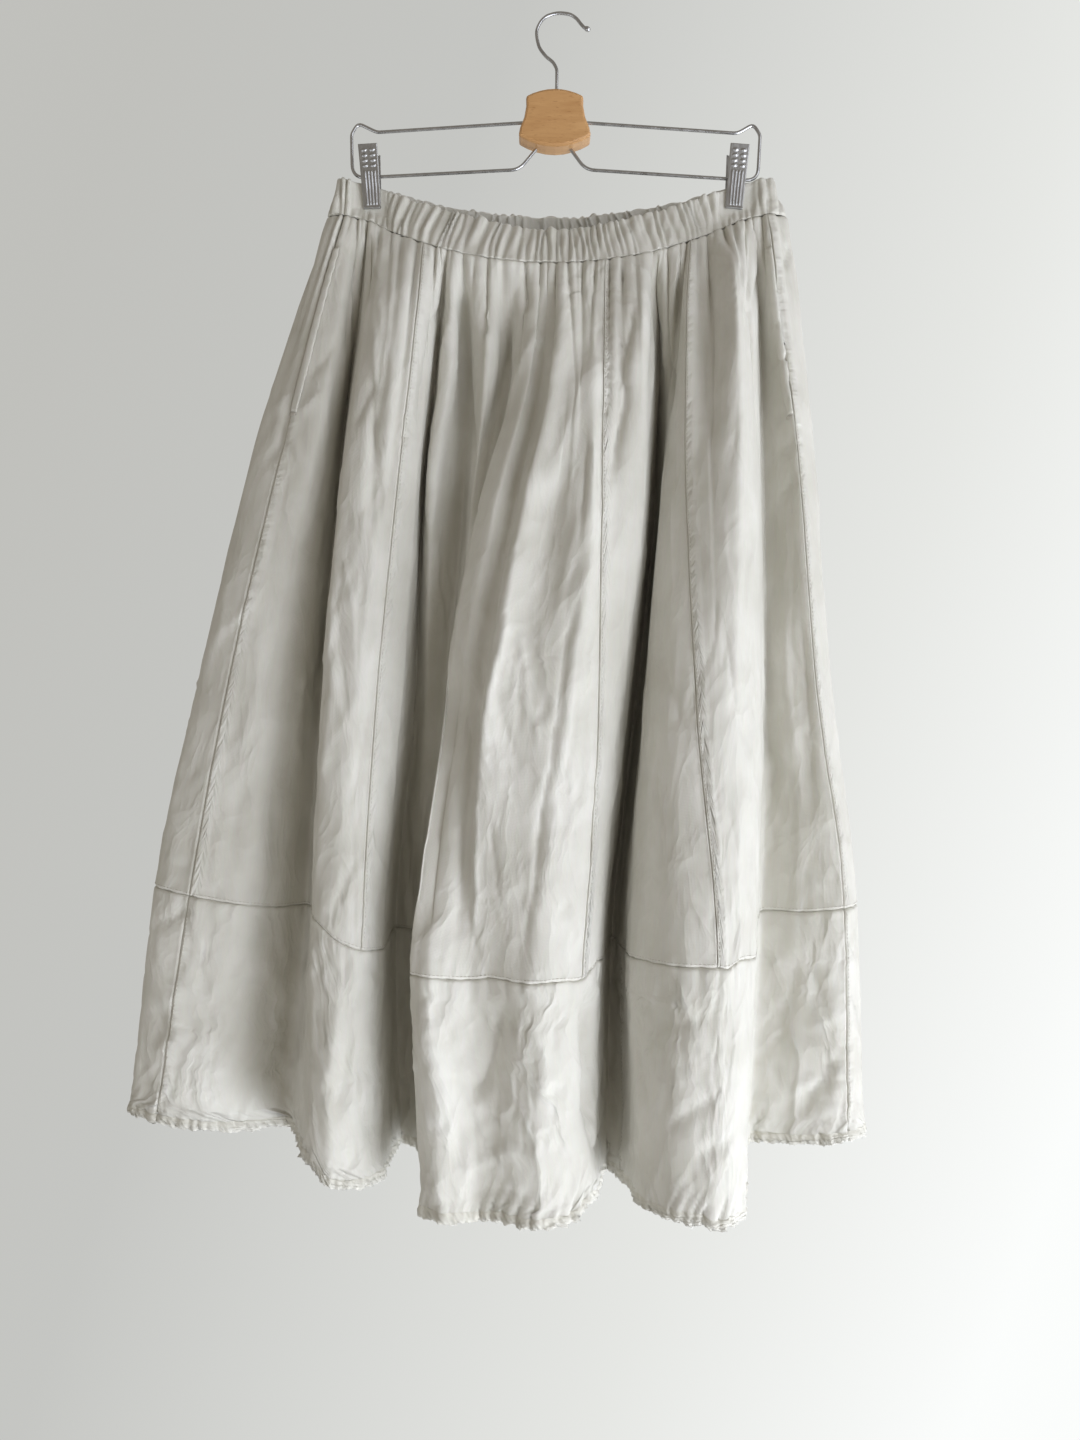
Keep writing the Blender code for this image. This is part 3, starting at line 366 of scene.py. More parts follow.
def fold_lines(lengths):
    """Points at the lengths down every line, round the skirt, and the lines' names."""
    lines, names = [], []
    for fold in FRONT_FOLDS:
        start = waist_front(np.array([float(fold.across[0])]), 1.0)[0]
        lines.append(hang(start, fold.across, fold.depth, lengths, fold.drop))
        names.append(fold.name)
    left, right = FRONT_FOLDS[0].across, FRONT_FOLDS[-1].across
    for fold in BACK_FOLDS:
        shares = np.interp(LEVELS, (LEVELS[0], LEVELS[-1]), (fold.share_top, fold.share_hem))
        across = [between(r, l, share) for r, l, share in zip(right, left, shares)]
        start = waist_back(np.array([across[0]]), 1.0)[0]
        hip, hem = fold.depth_hip, fold.depth_hem
        depth = (between(start[1], hip, TO_HIP), hip, *(between(hip, hem, s) for s in TO_HEM), hem)
        lines.append(hang(start, across, depth, lengths))
        names.append(fold.name)
    return np.array(lines), names


hem_heights = fold_lines(np.array([SKIRT_LENGTH]))[0][:, 0, 2]
print("the hem hangs between, mm:", hem_heights.min().round(1), "and", hem_heights.max().round(1))

# %% [markdown]
# ## One ring of cloth
# The lines become a closed surface, row by row, with a curve through every line. Its columns could be
# evenly spaced, but the front's narrow folds need more of them than the back does. A line's crispness
# takes away the roundness of the curve that passes it. Rows also stand exactly on the band seam,
# because the panels are cut out of this one ring later and have to meet there.

# %% One ring of cloth


def skirt_surface(rows):
    """(points in rows and columns, the column of each fold line) of the closed ring of cloth."""
    lines, names = fold_lines(rows)
    lows, _ = fold_lines(np.array(LEVELS[1:]))
    chords = np.linalg.norm(np.roll(lows, -1, 0) - lows, axis=-1).max(1)
    place = np.arange(len(names))
    fine = (place >= names.index("second_left")) & (place < names.index("fourth_edge"))
    counts = np.maximum(2, np.rint(chords / np.where(fine, FINE_STEP, COLUMN_STEP))).astype(int)
    columns = []
    loose = 1 - np.array([CRISP.get(name, CRISP_ELSEWHERE) for name in names])
    for i, count in enumerate(counts):
        p0, p1, p2, p3 = (np.roll(lines, shift, 0)[i] for shift in (1, 0, -1, -2))
        gaps = [np.sqrt(np.linalg.norm(c, axis=-1, keepdims=True)) for c in (p1 - p0, p2 - p1, p3 - p2)]
        m1 = (p1 - p0) / gaps[0] - (p2 - p0) / (gaps[0] + gaps[1]) + (p2 - p1) / gaps[1]
        m2 = (p2 - p1) / gaps[1] - (p3 - p1) / (gaps[1] + gaps[2]) + (p3 - p2) / gaps[2]
        m1, m2 = m1 * loose[i], m2 * loose[(i + 1) % len(loose)]
        for t in np.arange(count) / count:
            columns.append(
                p1 * (2 * t**3 - 3 * t**2 + 1)
                + m1 * gaps[1] * (t**3 - 2 * t**2 + t)
                + p2 * (3 * t**2 - 2 * t**3)
                + m2 * gaps[1] * (t**3 - t**2)
            )
    column = dict(zip(names, np.concatenate([[0], np.cumsum(counts)[:-1]]).tolist()))
    return np.array(columns).transpose(1, 0, 2), column


def outward(grid, closed=True):
    """Unit directions out of the cloth at each point."""
    if closed:
        along = np.roll(grid, -1, 1) - np.roll(grid, 1, 1)
    else:
        along = np.gradient(grid, axis=1)
    normals = np.cross(np.gradient(grid, axis=0), along)
    return normals / np.maximum(np.linalg.norm(normals, axis=-1, keepdims=True), 1e-9)


gore_rows = np.linspace(0, GORE_LENGTH, round(GORE_LENGTH / ROW_STEP) + 1)
band_rows = np.linspace(GORE_LENGTH, SKIRT_LENGTH, round(HEM_BAND_LENGTH / ROW_STEP) + 1)
rows = np.concatenate([gore_rows, band_rows[1:]])
BAND_ROW = len(gore_rows) - 1
surface, column = skirt_surface(rows)
COLUMNS = surface.shape[1]
print("rows and columns of cloth:", surface.shape[:2])

# %% [markdown]
# ## Puffs and troughs
# Gathered cloth is a row of round puffs with sharp troughs between them, no two alike. A sine wave is
# the usual stand-in, and looks like corrugated tin, since it is as sharp on top as below. A sine
# raised to a power under one is round on top and sharp below. Numbered random draws make them uneven,
# and the same on every run.

# %% Puffs and troughs


def uneven(count, seed, least):
    """Shares of a whole, uneven in width."""
    widths = np.random.default_rng(seed).uniform(least, 2 - least, count)
    return widths / widths.sum()


def pillows(places, edges, talls):
    """Round puffs between sharp troughs at the edges, from -1 to 1, and the number of each puff."""
    puff = np.clip(np.searchsorted(edges, places, side="right") - 1, 0, len(edges) - 2)
    t = np.clip((places - edges[puff]) / (edges[puff + 1] - edges[puff]), 0, 1)
    return (2 * np.sin(np.pi * t) ** 0.55 - 1) * talls[puff], puff


def arc(line, closed=False):
    """Lengths along a line of points."""
    ahead = np.roll(line, -1, 0) if closed else line[1:]
    steps = np.linalg.norm(ahead - (line if closed else line[:-1]), axis=-1)
    return np.concatenate([[0], np.cumsum(steps)])


print("uneven shares of five:", uneven(5, 1, 0.7).round(2).tolist())

# %% [markdown]
# ## Gathers at the waist
# The elastic draws the cloth in along the waist seam. Every gather begins there as a puff, and
# wanders and fades as it goes down: most are gone after a finger's width, and some run on and turn
# into folds. They could be a texture, but real ones change the outline and throw shadows, so they
# move the cloth itself.

# %% Gathers at the waist
FRONT_GATHERS, BACK_GATHERS = 34, 26
LEAST_GATHER = 0.72          # of the even width
TROUGH_AT = 0.68             # of the way from one gather's middle to the next
SPLIT_OVER, SPLIT_CHANCE = 8.0, 0.75
SHORT_RUNS = [9, 14, 22, 32]
LONG_RUNS = [30, 50, 80, 120, 160]

WAIST_START = column["side_seam_left"]
waist_order = (WAIST_START + np.arange(COLUMNS)) % COLUMNS
WAIST_LENGTHS = np.zeros(COLUMNS)
WAIST_LENGTHS[waist_order] = arc(surface[0, waist_order], True)[:-1]
WAIST_ALL = arc(surface[0], True)[-1]
WAIST_FRONT = WAIST_LENGTHS[column["side_seam_right"]]


def gather_edges():
    """Where the troughs of the gathers stand round the waist seam."""
    front = np.cumsum(uneven(FRONT_GATHERS, 3, LEAST_GATHER)) * WAIST_FRONT
    back_length = WAIST_ALL - WAIST_FRONT
    back = WAIST_FRONT + np.cumsum(uneven(BACK_GATHERS, 8, LEAST_GATHER)) * back_length
    whole = np.concatenate([[0], front, back])
    return np.sort(np.concatenate([whole[:-1] + TROUGH_AT * np.diff(whole), [0, WAIST_ALL]]))


def split_gathers(edges, seed):
    """Some of the gathers split in two, as narrow as the picture's."""
    draw = np.random.default_rng(seed)
    wide = np.diff(edges) > SPLIT_OVER
    cut = edges[:-1] + np.diff(edges) * draw.uniform(0.35, 0.65, len(edges) - 1)
    return np.sort(np.concatenate([edges, cut[wide & (draw.random(len(cut)) < SPLIT_CHANCE)]]))


GATHER_EDGES = split_gathers(gather_edges(), 12)
gather_draw = np.random.default_rng(21)
GATHER_TALLS = gather_draw.uniform(0.6, 1.15, len(GATHER_EDGES) - 1)


def gather_family(edges, talls, reach, drift, height, seed):
    """Gathers from the waist seam down: each trough wanders sideways and dies at its own length."""
    draw = np.random.default_rng(seed)
    inner = np.arange(1, len(edges) - 1)
    wander = np.zeros(len(edges))
    wander[inner] = draw.normal(0, drift, len(inner))
    runs = draw.choice(reach, len(edges)) * draw.uniform(0.8, 1.2, len(edges))
    runs[-1] = runs[0]
    out = np.zeros(surface.shape[:2])
    for r, s in enumerate(rows[:np.searchsorted(rows, 2.6 * max(reach))]):
        moved = edges + wander * min(s / 90, 1.3)
        moved = np.maximum.accumulate(moved) + np.arange(len(edges)) * 1e-4
        wave = pillows(WAIST_LENGTHS, moved, talls)[0]
        fade = np.exp(-((s / np.interp(WAIST_LENGTHS, moved, runs)) ** 1.6))
        out[r] = height * wave * fade * (0.45 + 0.55 * min(s / 16, 1))
    return out


def waist_gathers():
    """How far the small gathers, and those that turn into folds, move the cloth below the waist seam."""
    small = gather_family(GATHER_EDGES, GATHER_TALLS, SHORT_RUNS, 1.5, 1.5, 22)
    wide_edges = np.concatenate([GATHER_EDGES[:-1:2], GATHER_EDGES[-1:]])
    wide_talls = gather_draw.uniform(0.5, 1.25, len(wide_edges) - 1)
    return small + gather_family(wide_edges, wide_talls, LONG_RUNS, 4.0, 3.2, 24)


out = waist_gathers()
print("gathers at the waist:", len(GATHER_TALLS))

# %% [markdown]
# ## Seams that pucker
# Beside each seam the turned allowance lies under the cloth: a low flat ridge, which the thread draws
# into small ripples across it. The ripples could be bump in the finish; as real shape they also catch
# light from the side.

# %% Seams that pucker
ALLOWANCE = 9.0              # how wide the ridge is
RIDGE_TALL, RIPPLE_TALL = 0.8, 1.15
RIPPLE_PITCH = 9.5
RIPPLE_MIDDLE, RIPPLE_REACH = 5.0, 3.0


def seam_puckers(line, start, end, seed, side=1):
    """The turned allowance beside a seam: a low ridge with small cross ripples."""
    draw = np.random.default_rng(seed)
    at = column[line]
    out = np.zeros(surface.shape[:2])
    for r in range(start, end):
        cols = (at + side * np.arange(0, 13)) % COLUMNS
        d = arc(surface[r, cols])
        ripple = np.sin(2 * np.pi * (rows[r] / RIPPLE_PITCH + 0.9 * math.sin(rows[r] / 37 + seed)))
        ripple *= 0.55 + 0.45 * math.sin(rows[r] / 61 + 2.1 * seed)
        ridge = RIDGE_TALL * np.clip((ALLOWANCE - d) / 2, 0, 1)
        near = np.exp(-(((d - RIPPLE_MIDDLE) / RIPPLE_REACH) ** 2))
        ripples = RIPPLE_TALL * ripple * near * draw.uniform(0.8, 1.2)
        out[r, cols] += ridge + ripples
        other = (at - side * np.arange(1, 5)) % COLUMNS
        out[r, other] += 0.3 * ripple * np.exp(-arc(surface[r, other]) / 3)
    return out


SEAM_LINES = ("side_seam_left", "seam_a", "seam_b", "seam_c", "side_seam_right",
              "seam_back_a", "seam_back_centre", "seam_back_b")
BAND_SEAM_LINES = ("side_seam_left", "band_seam_front", "side_seam_right", "seam_back_centre")
for number, line in enumerate(SEAM_LINES):
    out += seam_puckers(line, 4, BAND_ROW, number + 1)
for number, line in enumerate(BAND_SEAM_LINES):
    out += seam_puckers(line, BAND_ROW + 1, len(rows) - 4, number + 31)
print("seams with puckers:", len(SEAM_LINES) + len(BAND_SEAM_LINES))

# %% [markdown]
# ## Puckers along the band seam and the hem
# Where cloth is eased on to a shorter edge, short gathers stand square to that edge: a few at the
# seam between gores and band, and many at the hem, where they run on into the ruffle. Each has its
# own length, and about one in eight is missing, or the row looks like a comb.

# %% Puckers along the band seam and the hem


def pucker_edges(row, pitch, seed):
    """Where the puckers of a seam or hem begin along it, and how tall each one is."""
    draw = np.random.default_rng(seed)
    length = arc(surface[row], True)[-1]
    count = int(length / pitch)
    edges = np.concatenate([[0], np.cumsum(uneven(count, seed, 0.45)) * length])
    return edges, draw.uniform(0.35, 1.2, count) * (draw.random(count) < 0.88)


def cross_puckers(row, reach_down, reach_up, pitch, tall, seed, slant=0.0):
    """Short uneven gathers below, and a few above, a seam or hem that runs round the skirt."""
    draw = np.random.default_rng(seed + 100)
    lengths = arc(surface[row], True)
    edges, talls = pucker_edges(row, pitch, seed)
    down = draw.uniform(0.4, 1.5, len(talls)) * reach_down
    up = draw.uniform(0.3, 1.4, len(talls)) * reach_up
    out = np.zeros(surface.shape[:2])
    for r, s in enumerate(rows - rows[row]):
        if abs(s) < 3 * max(reach_down, reach_up):
            wave, puff = pillows((lengths[:-1] + slant * s) % lengths[-1], edges, talls)
            reach = np.maximum((down if s >= 0 else up)[puff], 0.1)
            out[r] = tall * wave * np.exp(-((abs(s) / reach) ** 1.5))
    return out


HEM_PITCH, HEM_TALL, HEM_SEED, HEM_SLANT = 8.6, 2.0, 43, 0.45
out += cross_puckers(BAND_ROW, 20, 4, 12.0, 0.9, 41)
out += cross_puckers(len(rows) - 1, 1, 17, HEM_PITCH, HEM_TALL, HEM_SEED, HEM_SLANT)
print("puckers along the hem:", len(pucker_edges(-1, HEM_PITCH, HEM_SEED)[1]))

# %% [markdown]
# ## Finding the cloth that is seen
# A crease is placed by what the eye sees, so the cloth there has to be found. A ray could be cast
# from the camera; but the rows and columns are wanted, not a point in space. So every point of the
# cloth is marked with where it is seen, and of those near the place, the one nearest to the viewer is
# taken.

# %% Finding the cloth that is seen
SEEN = seen_at(surface)
FACES_US = outward(surface)[..., 1] < 0.3
NEAR_ENOUGH = 6.0            # in the picture's pixels


def on_cloth(across, down):
    """(row, column) of the cloth that the picture shows at a place."""
    away = np.hypot(SEEN[..., 0] - across, SEEN[..., 1] - down)
    near = (away < max(NEAR_ENOUGH, away[FACES_US].min() + 2)) & FACES_US
    choices = np.argwhere(near)
    depths = surface[near][:, 1] + 2.0 * away[near]
    return choices[np.argmin(depths)]


print("middle of the picture, row and column of cloth:", on_cloth(540, 720).tolist())

# %% [markdown]
# ## A crease
# A crease is a ridge or a trough along a bent path that fades at both ends. Sculpt brushes make such
# strokes by hand. Here the stroke is a function of the distance from the path, measured through space
# and not along the mesh, so it keeps its width on a steep fold. A trough with one wide flank looks
# like a step, which is how one layer of cloth lies over another.

# %% A crease
REACH = 3.2                  # of a crease, in its own widths
LEAST_COLUMN = 1.2           # the narrowest space between two columns


def crease_path(ends, steps=7):
    """Points on the cloth between two or more (row, column) ends, and the rows and columns they span."""
    ends = np.array(ends, float)
    for k in range(1, len(ends)):
        turn = ends[k, 1] - ends[k - 1, 1]
        ends[k, 1] -= COLUMNS * round(turn / COLUMNS)
    t = np.linspace(0, len(ends) - 1, (len(ends) - 1) * steps + 1)
    r = np.interp(t, np.arange(len(ends)), ends[:, 0])
    c = np.interp(t, np.arange(len(ends)), ends[:, 1])
    return r, c


def add_crease(out, ends, width, height, taper=0.25, round=1.5, left=1.0):
    """A ridge, or a trough for a height under 0, along a path.

    A round of 1 makes a sharp one. Its left flank is left times as wide as its right one.
    """
    r, c = crease_path(ends)
    path = surface[np.rint(r).astype(int), np.rint(c).astype(int) % COLUMNS]
    margin = REACH * width * max(1.0, (1 + left) / 2)
    low = max(0, int(r.min() - margin / ROW_STEP - 1))
    high = min(len(rows), int(r.max() + margin / ROW_STEP + 2))
    side = int(margin / LEAST_COLUMN) + 2
    cols = np.arange(int(c.min()) - side, int(c.max()) + side + 1) % COLUMNS
    cols = cols[:COLUMNS]
    window = surface[low:high][:, cols]
    best = np.full(window.shape[:2], 1e9)
    along = np.zeros(window.shape[:2])
    to_left = np.zeros(window.shape[:2], bool)
    beside = np.rint(c).astype(int) % COLUMNS
    across = surface[np.rint(r).astype(int), (beside + 1) % COLUMNS] - path
    count = len(path) - 1
    for k in range(count):
        a, way = path[k], path[k + 1] - path[k]
        t = np.clip(((window - a) @ way) / max(way @ way, 1e-6), 0, 1)
        away = np.linalg.norm(window - a - t[..., None] * way, axis=-1)
        nearer = away < best
        best[nearer] = away[nearer]
        along[nearer] = ((k + t) / count)[nearer]
        to_left[nearer] = ((window - a - t[..., None] * way) @ across[k] < 0)[nearer]
    ends_fade = np.clip(np.minimum(along, 1 - along) / taper, 0, 1)
    ends_fade = ends_fade * ends_fade * (3 - 2 * ends_fade)
    flank = np.where(to_left, width * left, width)
    profile = np.exp(-((best / flank) ** round))
    block = out[low:high]
    block[:, cols] += height * profile * ends_fade
    return out


trial = add_crease(np.zeros(surface.shape[:2]), [(60, 40), (80, 40)], 5, 1.0)
print("points that a trial crease moves:", int((trial > 0.1).sum()))

# %% [markdown]
# ## Creases that are seen
# Worn linen and cotton keep the creases of the wash: long slits where a fold tucks under, steps
# beside a roll, and stars of short ones low on the band. The large ones make this skirt this one, so
# each is placed where it is seen, with a width and a height in millimetres.

# %% Creases that are seen
Crease = namedtuple("Crease", "name path width height left", defaults=(1.0,))
CREASES = tuple(Crease(*row) for row in (
    ("second_fold_slit", ((378, 335), (376, 440), (372, 560)), 7, -3.5),
    ("second_fold_rise", ((392, 300), (388, 420), (366, 600), (352, 760)), 9, 2.5),
    ("middle_trough", ((586, 430), (584, 480), (580, 530)), 3, -2.5),
    ("middle_roll_turn", ((460, 640), (447, 720), (437, 800), (430, 880), (427, 970)), 15, -11.0),
    ("middle_fold_groove", ((508, 515), (489, 640), (475, 731), (467, 801), (465, 880), (452, 985)),
     4.5, -5.0, 1.6),
    ("middle_fold_ridge", ((519, 530), (501, 640), (487, 731), (479, 801), (478, 890), (466, 990)), 5, 5.5),
    ("middle_fine_line", ((583, 581), (567, 635), (562, 688), (551, 761), (541, 817), (526, 948)),
     2.6, -2.2),
    ("middle_bright_side", ((592, 540), (577, 640), (570, 700), (560, 770), (550, 830), (542, 900)),
     7, 3.0),
    ("middle_low_crease", ((548, 790), (535, 880), (518, 985)), 8, -3.0),
    ("beside_seam_b", ((635, 285), (632, 320), (623, 365), (625, 400), (617, 450), (608, 500)), 5.5, -6.0),
    ("dark_notch", ((525, 264), (526, 290), (527, 316)), 4, -5.0),
    ("second_fold_edge", ((443, 287), (435, 323), (427, 358), (420, 409), (417, 448)), 4, -3.5),
    ("small_fold_edge", ((452, 300), (444, 350), (437, 420), (431, 500), (428, 560)), 6, 5.0),
    ("second_fold_bend", ((372, 300), (375, 360), (378, 420), (384, 500)), 4, 2.5),
    ("small_line_a", ((466, 267), (467, 333), (468, 384), (469, 490)), 3, -6.5, 3.0),
    ("small_line_b", ((517, 274), (513, 300), (512, 333), (502, 384), (489, 435), (473, 486)), 4, -3.5),
    ("small_notch", ((485, 288), (488, 312), (487, 336)), 3.5, -3.0),
    ("middle_slit",
     ((553, 265), (553, 301), (548, 330), (546, 368), (541, 400), (534, 436), (522, 500)),
     3, -8.0, 3.5),
    ("slant_rise", ((549, 323), (530, 346), (517, 374), (501, 425)), 5, 3.0),
    ("bright_slant", ((596, 345), (578, 400), (562, 450), (532, 505)), 13, 6.0),
    ("inner_fold", ((665, 262), (667, 320), (662, 380)), 7, 3.5),
    ("flap_slit", ((681, 262), (677, 310), (669, 365), (665, 415)), 3.5, -8.0),
    ("fourth_trough", ((705, 300), (704, 390), (712, 450)), 7, -3.5),
    ("fourth_low_a", ((720, 600), (735, 700), (752, 760)), 7, -2.5),
    ("fourth_low_b", ((655, 600), (668, 690), (690, 740)), 7, -2.2),
    ("left_face_a", ((310, 470), (285, 600), (262, 720)), 9, -2.5),
    ("left_face_b", ((330, 350), (322, 470), (300, 560)), 8, 2.2),
    ("left_low", ((250, 760), (236, 820), (232, 880)), 9, -2.0),
    ("left_band_cut", ((222, 990), (250, 950), (280, 918)), 5, -2.2),
    ("left_band_star_a", ((200, 1075), (220, 1040), (224, 1000)), 6, -2.4),
    ("left_band_star_b", ((175, 1030), (195, 1060), (235, 1075)), 6, 2.2),
    ("left_band_star_c", ((150, 1000), (165, 1030), (180, 1050)), 6, -2.2),
    ("left_band_star_d", ((146, 1052), (170, 1042), (190, 1030)), 5, 2.0),
    ("second_band_light", ((345, 960), (335, 1040), (322, 1100)), 10, 2.5),
    ("second_band_trough", ((362, 1040), (360, 1100), (372, 1150)), 8, -3.0),
    ("second_band_fork", ((330, 1110), (344, 1080), (352, 1030)), 6, -2.0),
    ("middle_band_light", ((425, 1010), (440, 1080), (452, 1150)), 11, 3.0),
    ("middle_band_trough", ((505, 1000), (490, 1060), (474, 1110)), 6, -6.0, 2.5),
    ("middle_band_flank", ((590, 985), (592, 1060), (594, 1135)), 11, -12.0),
    ("middle_band_star_a", ((482, 1105), (505, 1135), (535, 1150)), 6, -2.6),
    ("middle_band_star_b", ((452, 1175), (490, 1160), (530, 1140)), 6, 2.4),
    ("middle_band_star_c", ((500, 1100), (500, 1130), (520, 1170)), 5, 2.0),
    ("middle_band_low", ((455, 1196), (500, 1192), (552, 1196)), 5, -1.4),
    ("middle_band_up", ((520, 1000), (545, 1060), (540, 1100)), 8, 2.2),
    ("band_dimple_a", ((585, 1120), (600, 1150), (615, 1130)), 5, -3.0),
    ("band_dimple_b", ((605, 1165), (618, 1150), (640, 1140)), 5, 2.6),
    ("right_band_a", ((665, 1130), (690, 1112), (715, 1095)), 6, -3.0),
    ("right_band_b", ((690, 1165), (715, 1148), (738, 1135)), 6, -2.8),
    ("right_band_c", ((650, 1028), (690, 1022), (712, 1010)), 5, -2.0),
    ("right_band_d", ((672, 985), (690, 1010), (705, 1060)), 7, 2.4),
    ("right_band_e", ((640, 1000), (638, 1060), (650, 1120)), 8, -2.4),
    ("right_face_a", ((800, 940), (785, 1010), (778, 1060)), 8, -3.4),
    ("right_face_b", ((795, 1120), (820, 1085), (840, 1050)), 8, -4.2),
    ("right_face_c", ((800, 1030), (825, 1018), (845, 1005)), 6, 2.0),
    ("right_gore_a", ((795, 640), (802, 740), (812, 830)), 8, -2.4),
    ("right_gore_b", ((775, 620), (780, 700), (790, 780)), 7, 2.0),
    ("waist_right_a", ((760, 250), (752, 310), (748, 380)), 7, -3.0),
    ("waist_left_a", ((362, 235), (352, 300), (346, 360)), 7, -3.0),
    ("right_face_light", ((784, 600), (788, 680), (798, 770)), 6, 3.0),
    ("right_face_fold", ((768, 690), (776, 760), (768, 820)), 5, -2.6),
    ("right_seam_fold", ((798, 600), (806, 700), (814, 810)), 5, -3.0),
    ("right_band_line", ((785, 1092), (815, 1079), (848, 1068)), 4, 2.2),
    ("right_band_seam", ((806, 950), (824, 1010), (832, 1080)), 5, -2.0),
    ("right_fold_step", ((749, 225), (755, 300), (761, 380), (764, 470)), 3.5, -6.0),
    ("right_slit", ((776, 262), (784, 330), (790, 400)), 3, -3.5),
    ("pocket_ripple_a", ((766, 330), (785, 320)), 4, -2.0),
    ("pocket_ripple_b", ((768, 370), (788, 358)), 4, -2.0),
    ("pocket_ripple_c", ((772, 425), (790, 408)), 4, -2.2),
    ("pocket_ripple_d", ((775, 458), (795, 438)), 4, -2.2),
    ("pocket_ripple_e", ((776, 500), (797, 480)), 4, -2.2),
    ("pocket_star", ((782, 268), (790, 255), (793, 242)), 3, -3.0),
    ("left_pocket_slant", ((306, 375), (325, 358), (340, 335)), 6, -2.4),
    ("left_pocket_rise", ((296, 415), (322, 392)), 5, 2.2),
    ("left_edge_slant", ((262, 470), (280, 440), (290, 400)), 5, -2.6),
    ("left_edge_rise", ((270, 420), (290, 392)), 5, 2.2),
    ("left_slit", ((372, 225), (368, 270), (362, 310)), 4, -5.0),
    ("left_fold_slant", ((352, 430), (368, 395), (376, 380)), 5, -2.6),
    ("left_fold_line", ((374, 385), (380, 460), (384, 540)), 4, -3.0),
))


def hand_creases(out):
    """Every crease of the table, where a wide one is rounder than the rest."""
    for crease in CREASES:
        ends = [on_cloth(*place) for place in crease.path]
        soft = 1.9 if crease.width > 10 else 1.15
        add_crease(out, ends, 0.9 * crease.width, crease.height, round=soft, left=crease.left)
    return out


out = hand_creases(out)
print("creases placed by hand:", len(CREASES))

# %% [markdown]
# ## Creases all over
# Between the large ones the cloth is crumpled everywhere, also behind, where no picture helps. A
# noise texture would crumple it evenly and without direction. Real crumples are short lines, mostly
# upright on the gores and in all directions on the band, each with a softer one of the other sign
# beside it. So a thousand of them are scattered with numbered random draws.

# %% Creases all over


def crumples(out, first, last, count, lean, seed, wide, tall, long):
    """Small creases all over a stretch of rows, each with a softer one of the other sign beside it."""
    draw = np.random.default_rng(seed)
    for _ in range(count):
        r = draw.uniform(rows[first], rows[last])
        c = draw.uniform(0, COLUMNS)
        length = draw.uniform(*long)
        turn = draw.normal(0, lean)
        down, across = length * math.cos(turn) / 2, length * math.sin(turn) / 2 / COLUMN_STEP
        tops, bottoms = max(r - down, rows[first]), min(r + down, rows[last])
        row_a, row_b = np.interp([tops, bottoms], rows, np.arange(len(rows)))
        bend = draw.normal(0, 2.5)
        ends = [(row_a, c - across), ((row_a + row_b) / 2, c + bend), (row_b, c + across)]
        width, height = draw.uniform(*wide), draw.uniform(*tall) * draw.choice([-1, 1])
        add_crease(out, ends, width, height, round=1.05)
        beside = draw.choice([-1, 1]) * 1.7 * width / COLUMN_STEP
        add_crease(out, [(a, b + beside) for a, b in ends], width * 1.5, -0.5 * height)
    return out


Crumpled = namedtuple("Crumpled", "first last count lean seed wide tall long")
CRUMPLED_PARTS = (
    Crumpled(2, BAND_ROW, 520, 0.30, 51, (2.6, 7), (0.5, 1.6), (25, 130)),
    Crumpled(BAND_ROW - 85, BAND_ROW, 220, 0.7, 52, (2.4, 6), (0.5, 1.6), (15, 60)),
    Crumpled(BAND_ROW + 2, len(rows) - 3, 420, 1.0, 53, (2.4, 6.5), (0.6, 2.1), (12, 60)),
)
for part in CRUMPLED_PARTS:
    out = crumples(out, *part)
print("creases scattered:", sum(part.count for part in CRUMPLED_PARTS))

# %% [markdown]
# ## The dressed surface
# All of it was added up in one number a point: how far the cloth moves out. Only now does it move,
# once, along the direction in which it faces. Moving it after each step would turn that direction a
# little each time.

# %% The dressed surface
cloth = surface + outward(surface) * out[..., None]
cloth_out = outward(cloth)
print("furthest that detail moves the cloth, mm:", round(float(np.abs(out).max()), 1))

# %% [markdown]
# ## Words for building a finish
# A finish in Blender is a tree of nodes, and clicking one together takes a page of wires. In code
# each node is one line: its kind, what goes into its sockets, and its settings. Every finish here is
# worked out from the piece's own coordinates, so it needs no pictures and stays put when the piece is
# seen from another side.

# %% Words for building a finish


class Nodes:
    """Words for building a material: add a node, lead one into the shader, set the shader's numbers."""

    def __init__(self, name):
        self.material = bpy.data.materials.new(name)
        self.material.use_nodes = True
        self.tree = self.material.node_tree
        self.shader = self.tree.nodes["Principled BSDF"]

    def add(self, kind, links=(), **values):
        node = self.tree.nodes.new(kind)
        for key, value in values.items():
            setattr(node, key, value)
        for socket, source in dict(links).items():
            target = node.inputs[socket]
            if isinstance(source, bpy.types.NodeSocket):
                self.tree.links.new(source, target)
            else:
                target.default_value = source
        return node

    def into(self, socket, source):
        self.tree.links.new(source, self.shader.inputs[socket])

    def set(self, values):
        for socket, value in values.items():
            self.shader.inputs[socket].default_value = value

    def place(self):
        return self.add("ShaderNodeTexCoord").outputs["Object"]

    def kept(self, name):
        return self.add("ShaderNodeAttribute", attribute_name=name).outputs["Fac"]

    def scaled(self, vector, scale):
        return self.add("ShaderNodeMapping", {"Vector": vector, "Scale": scale}).outputs[0]

    def noise(self, vector, scale, detail, output="Fac", **more):
        sockets = {"Vector": vector, "Scale": scale, "Detail": detail, **more}
        return self.add("ShaderNodeTexNoise", sockets).outputs[output]


def ramp(nodes, source, stops):
    """Colours along a scale from 0 to 1."""
    node = nodes.add("ShaderNodeValToRGB", {"Fac": source})
    while len(node.color_ramp.elements) < len(stops):
        node.color_ramp.elements.new(0.5)
    for element, (place, colour) in zip(node.color_ramp.elements, stops):
        element.position = place
        element.color = (*colour, 1)
    return node.outputs["Color"]


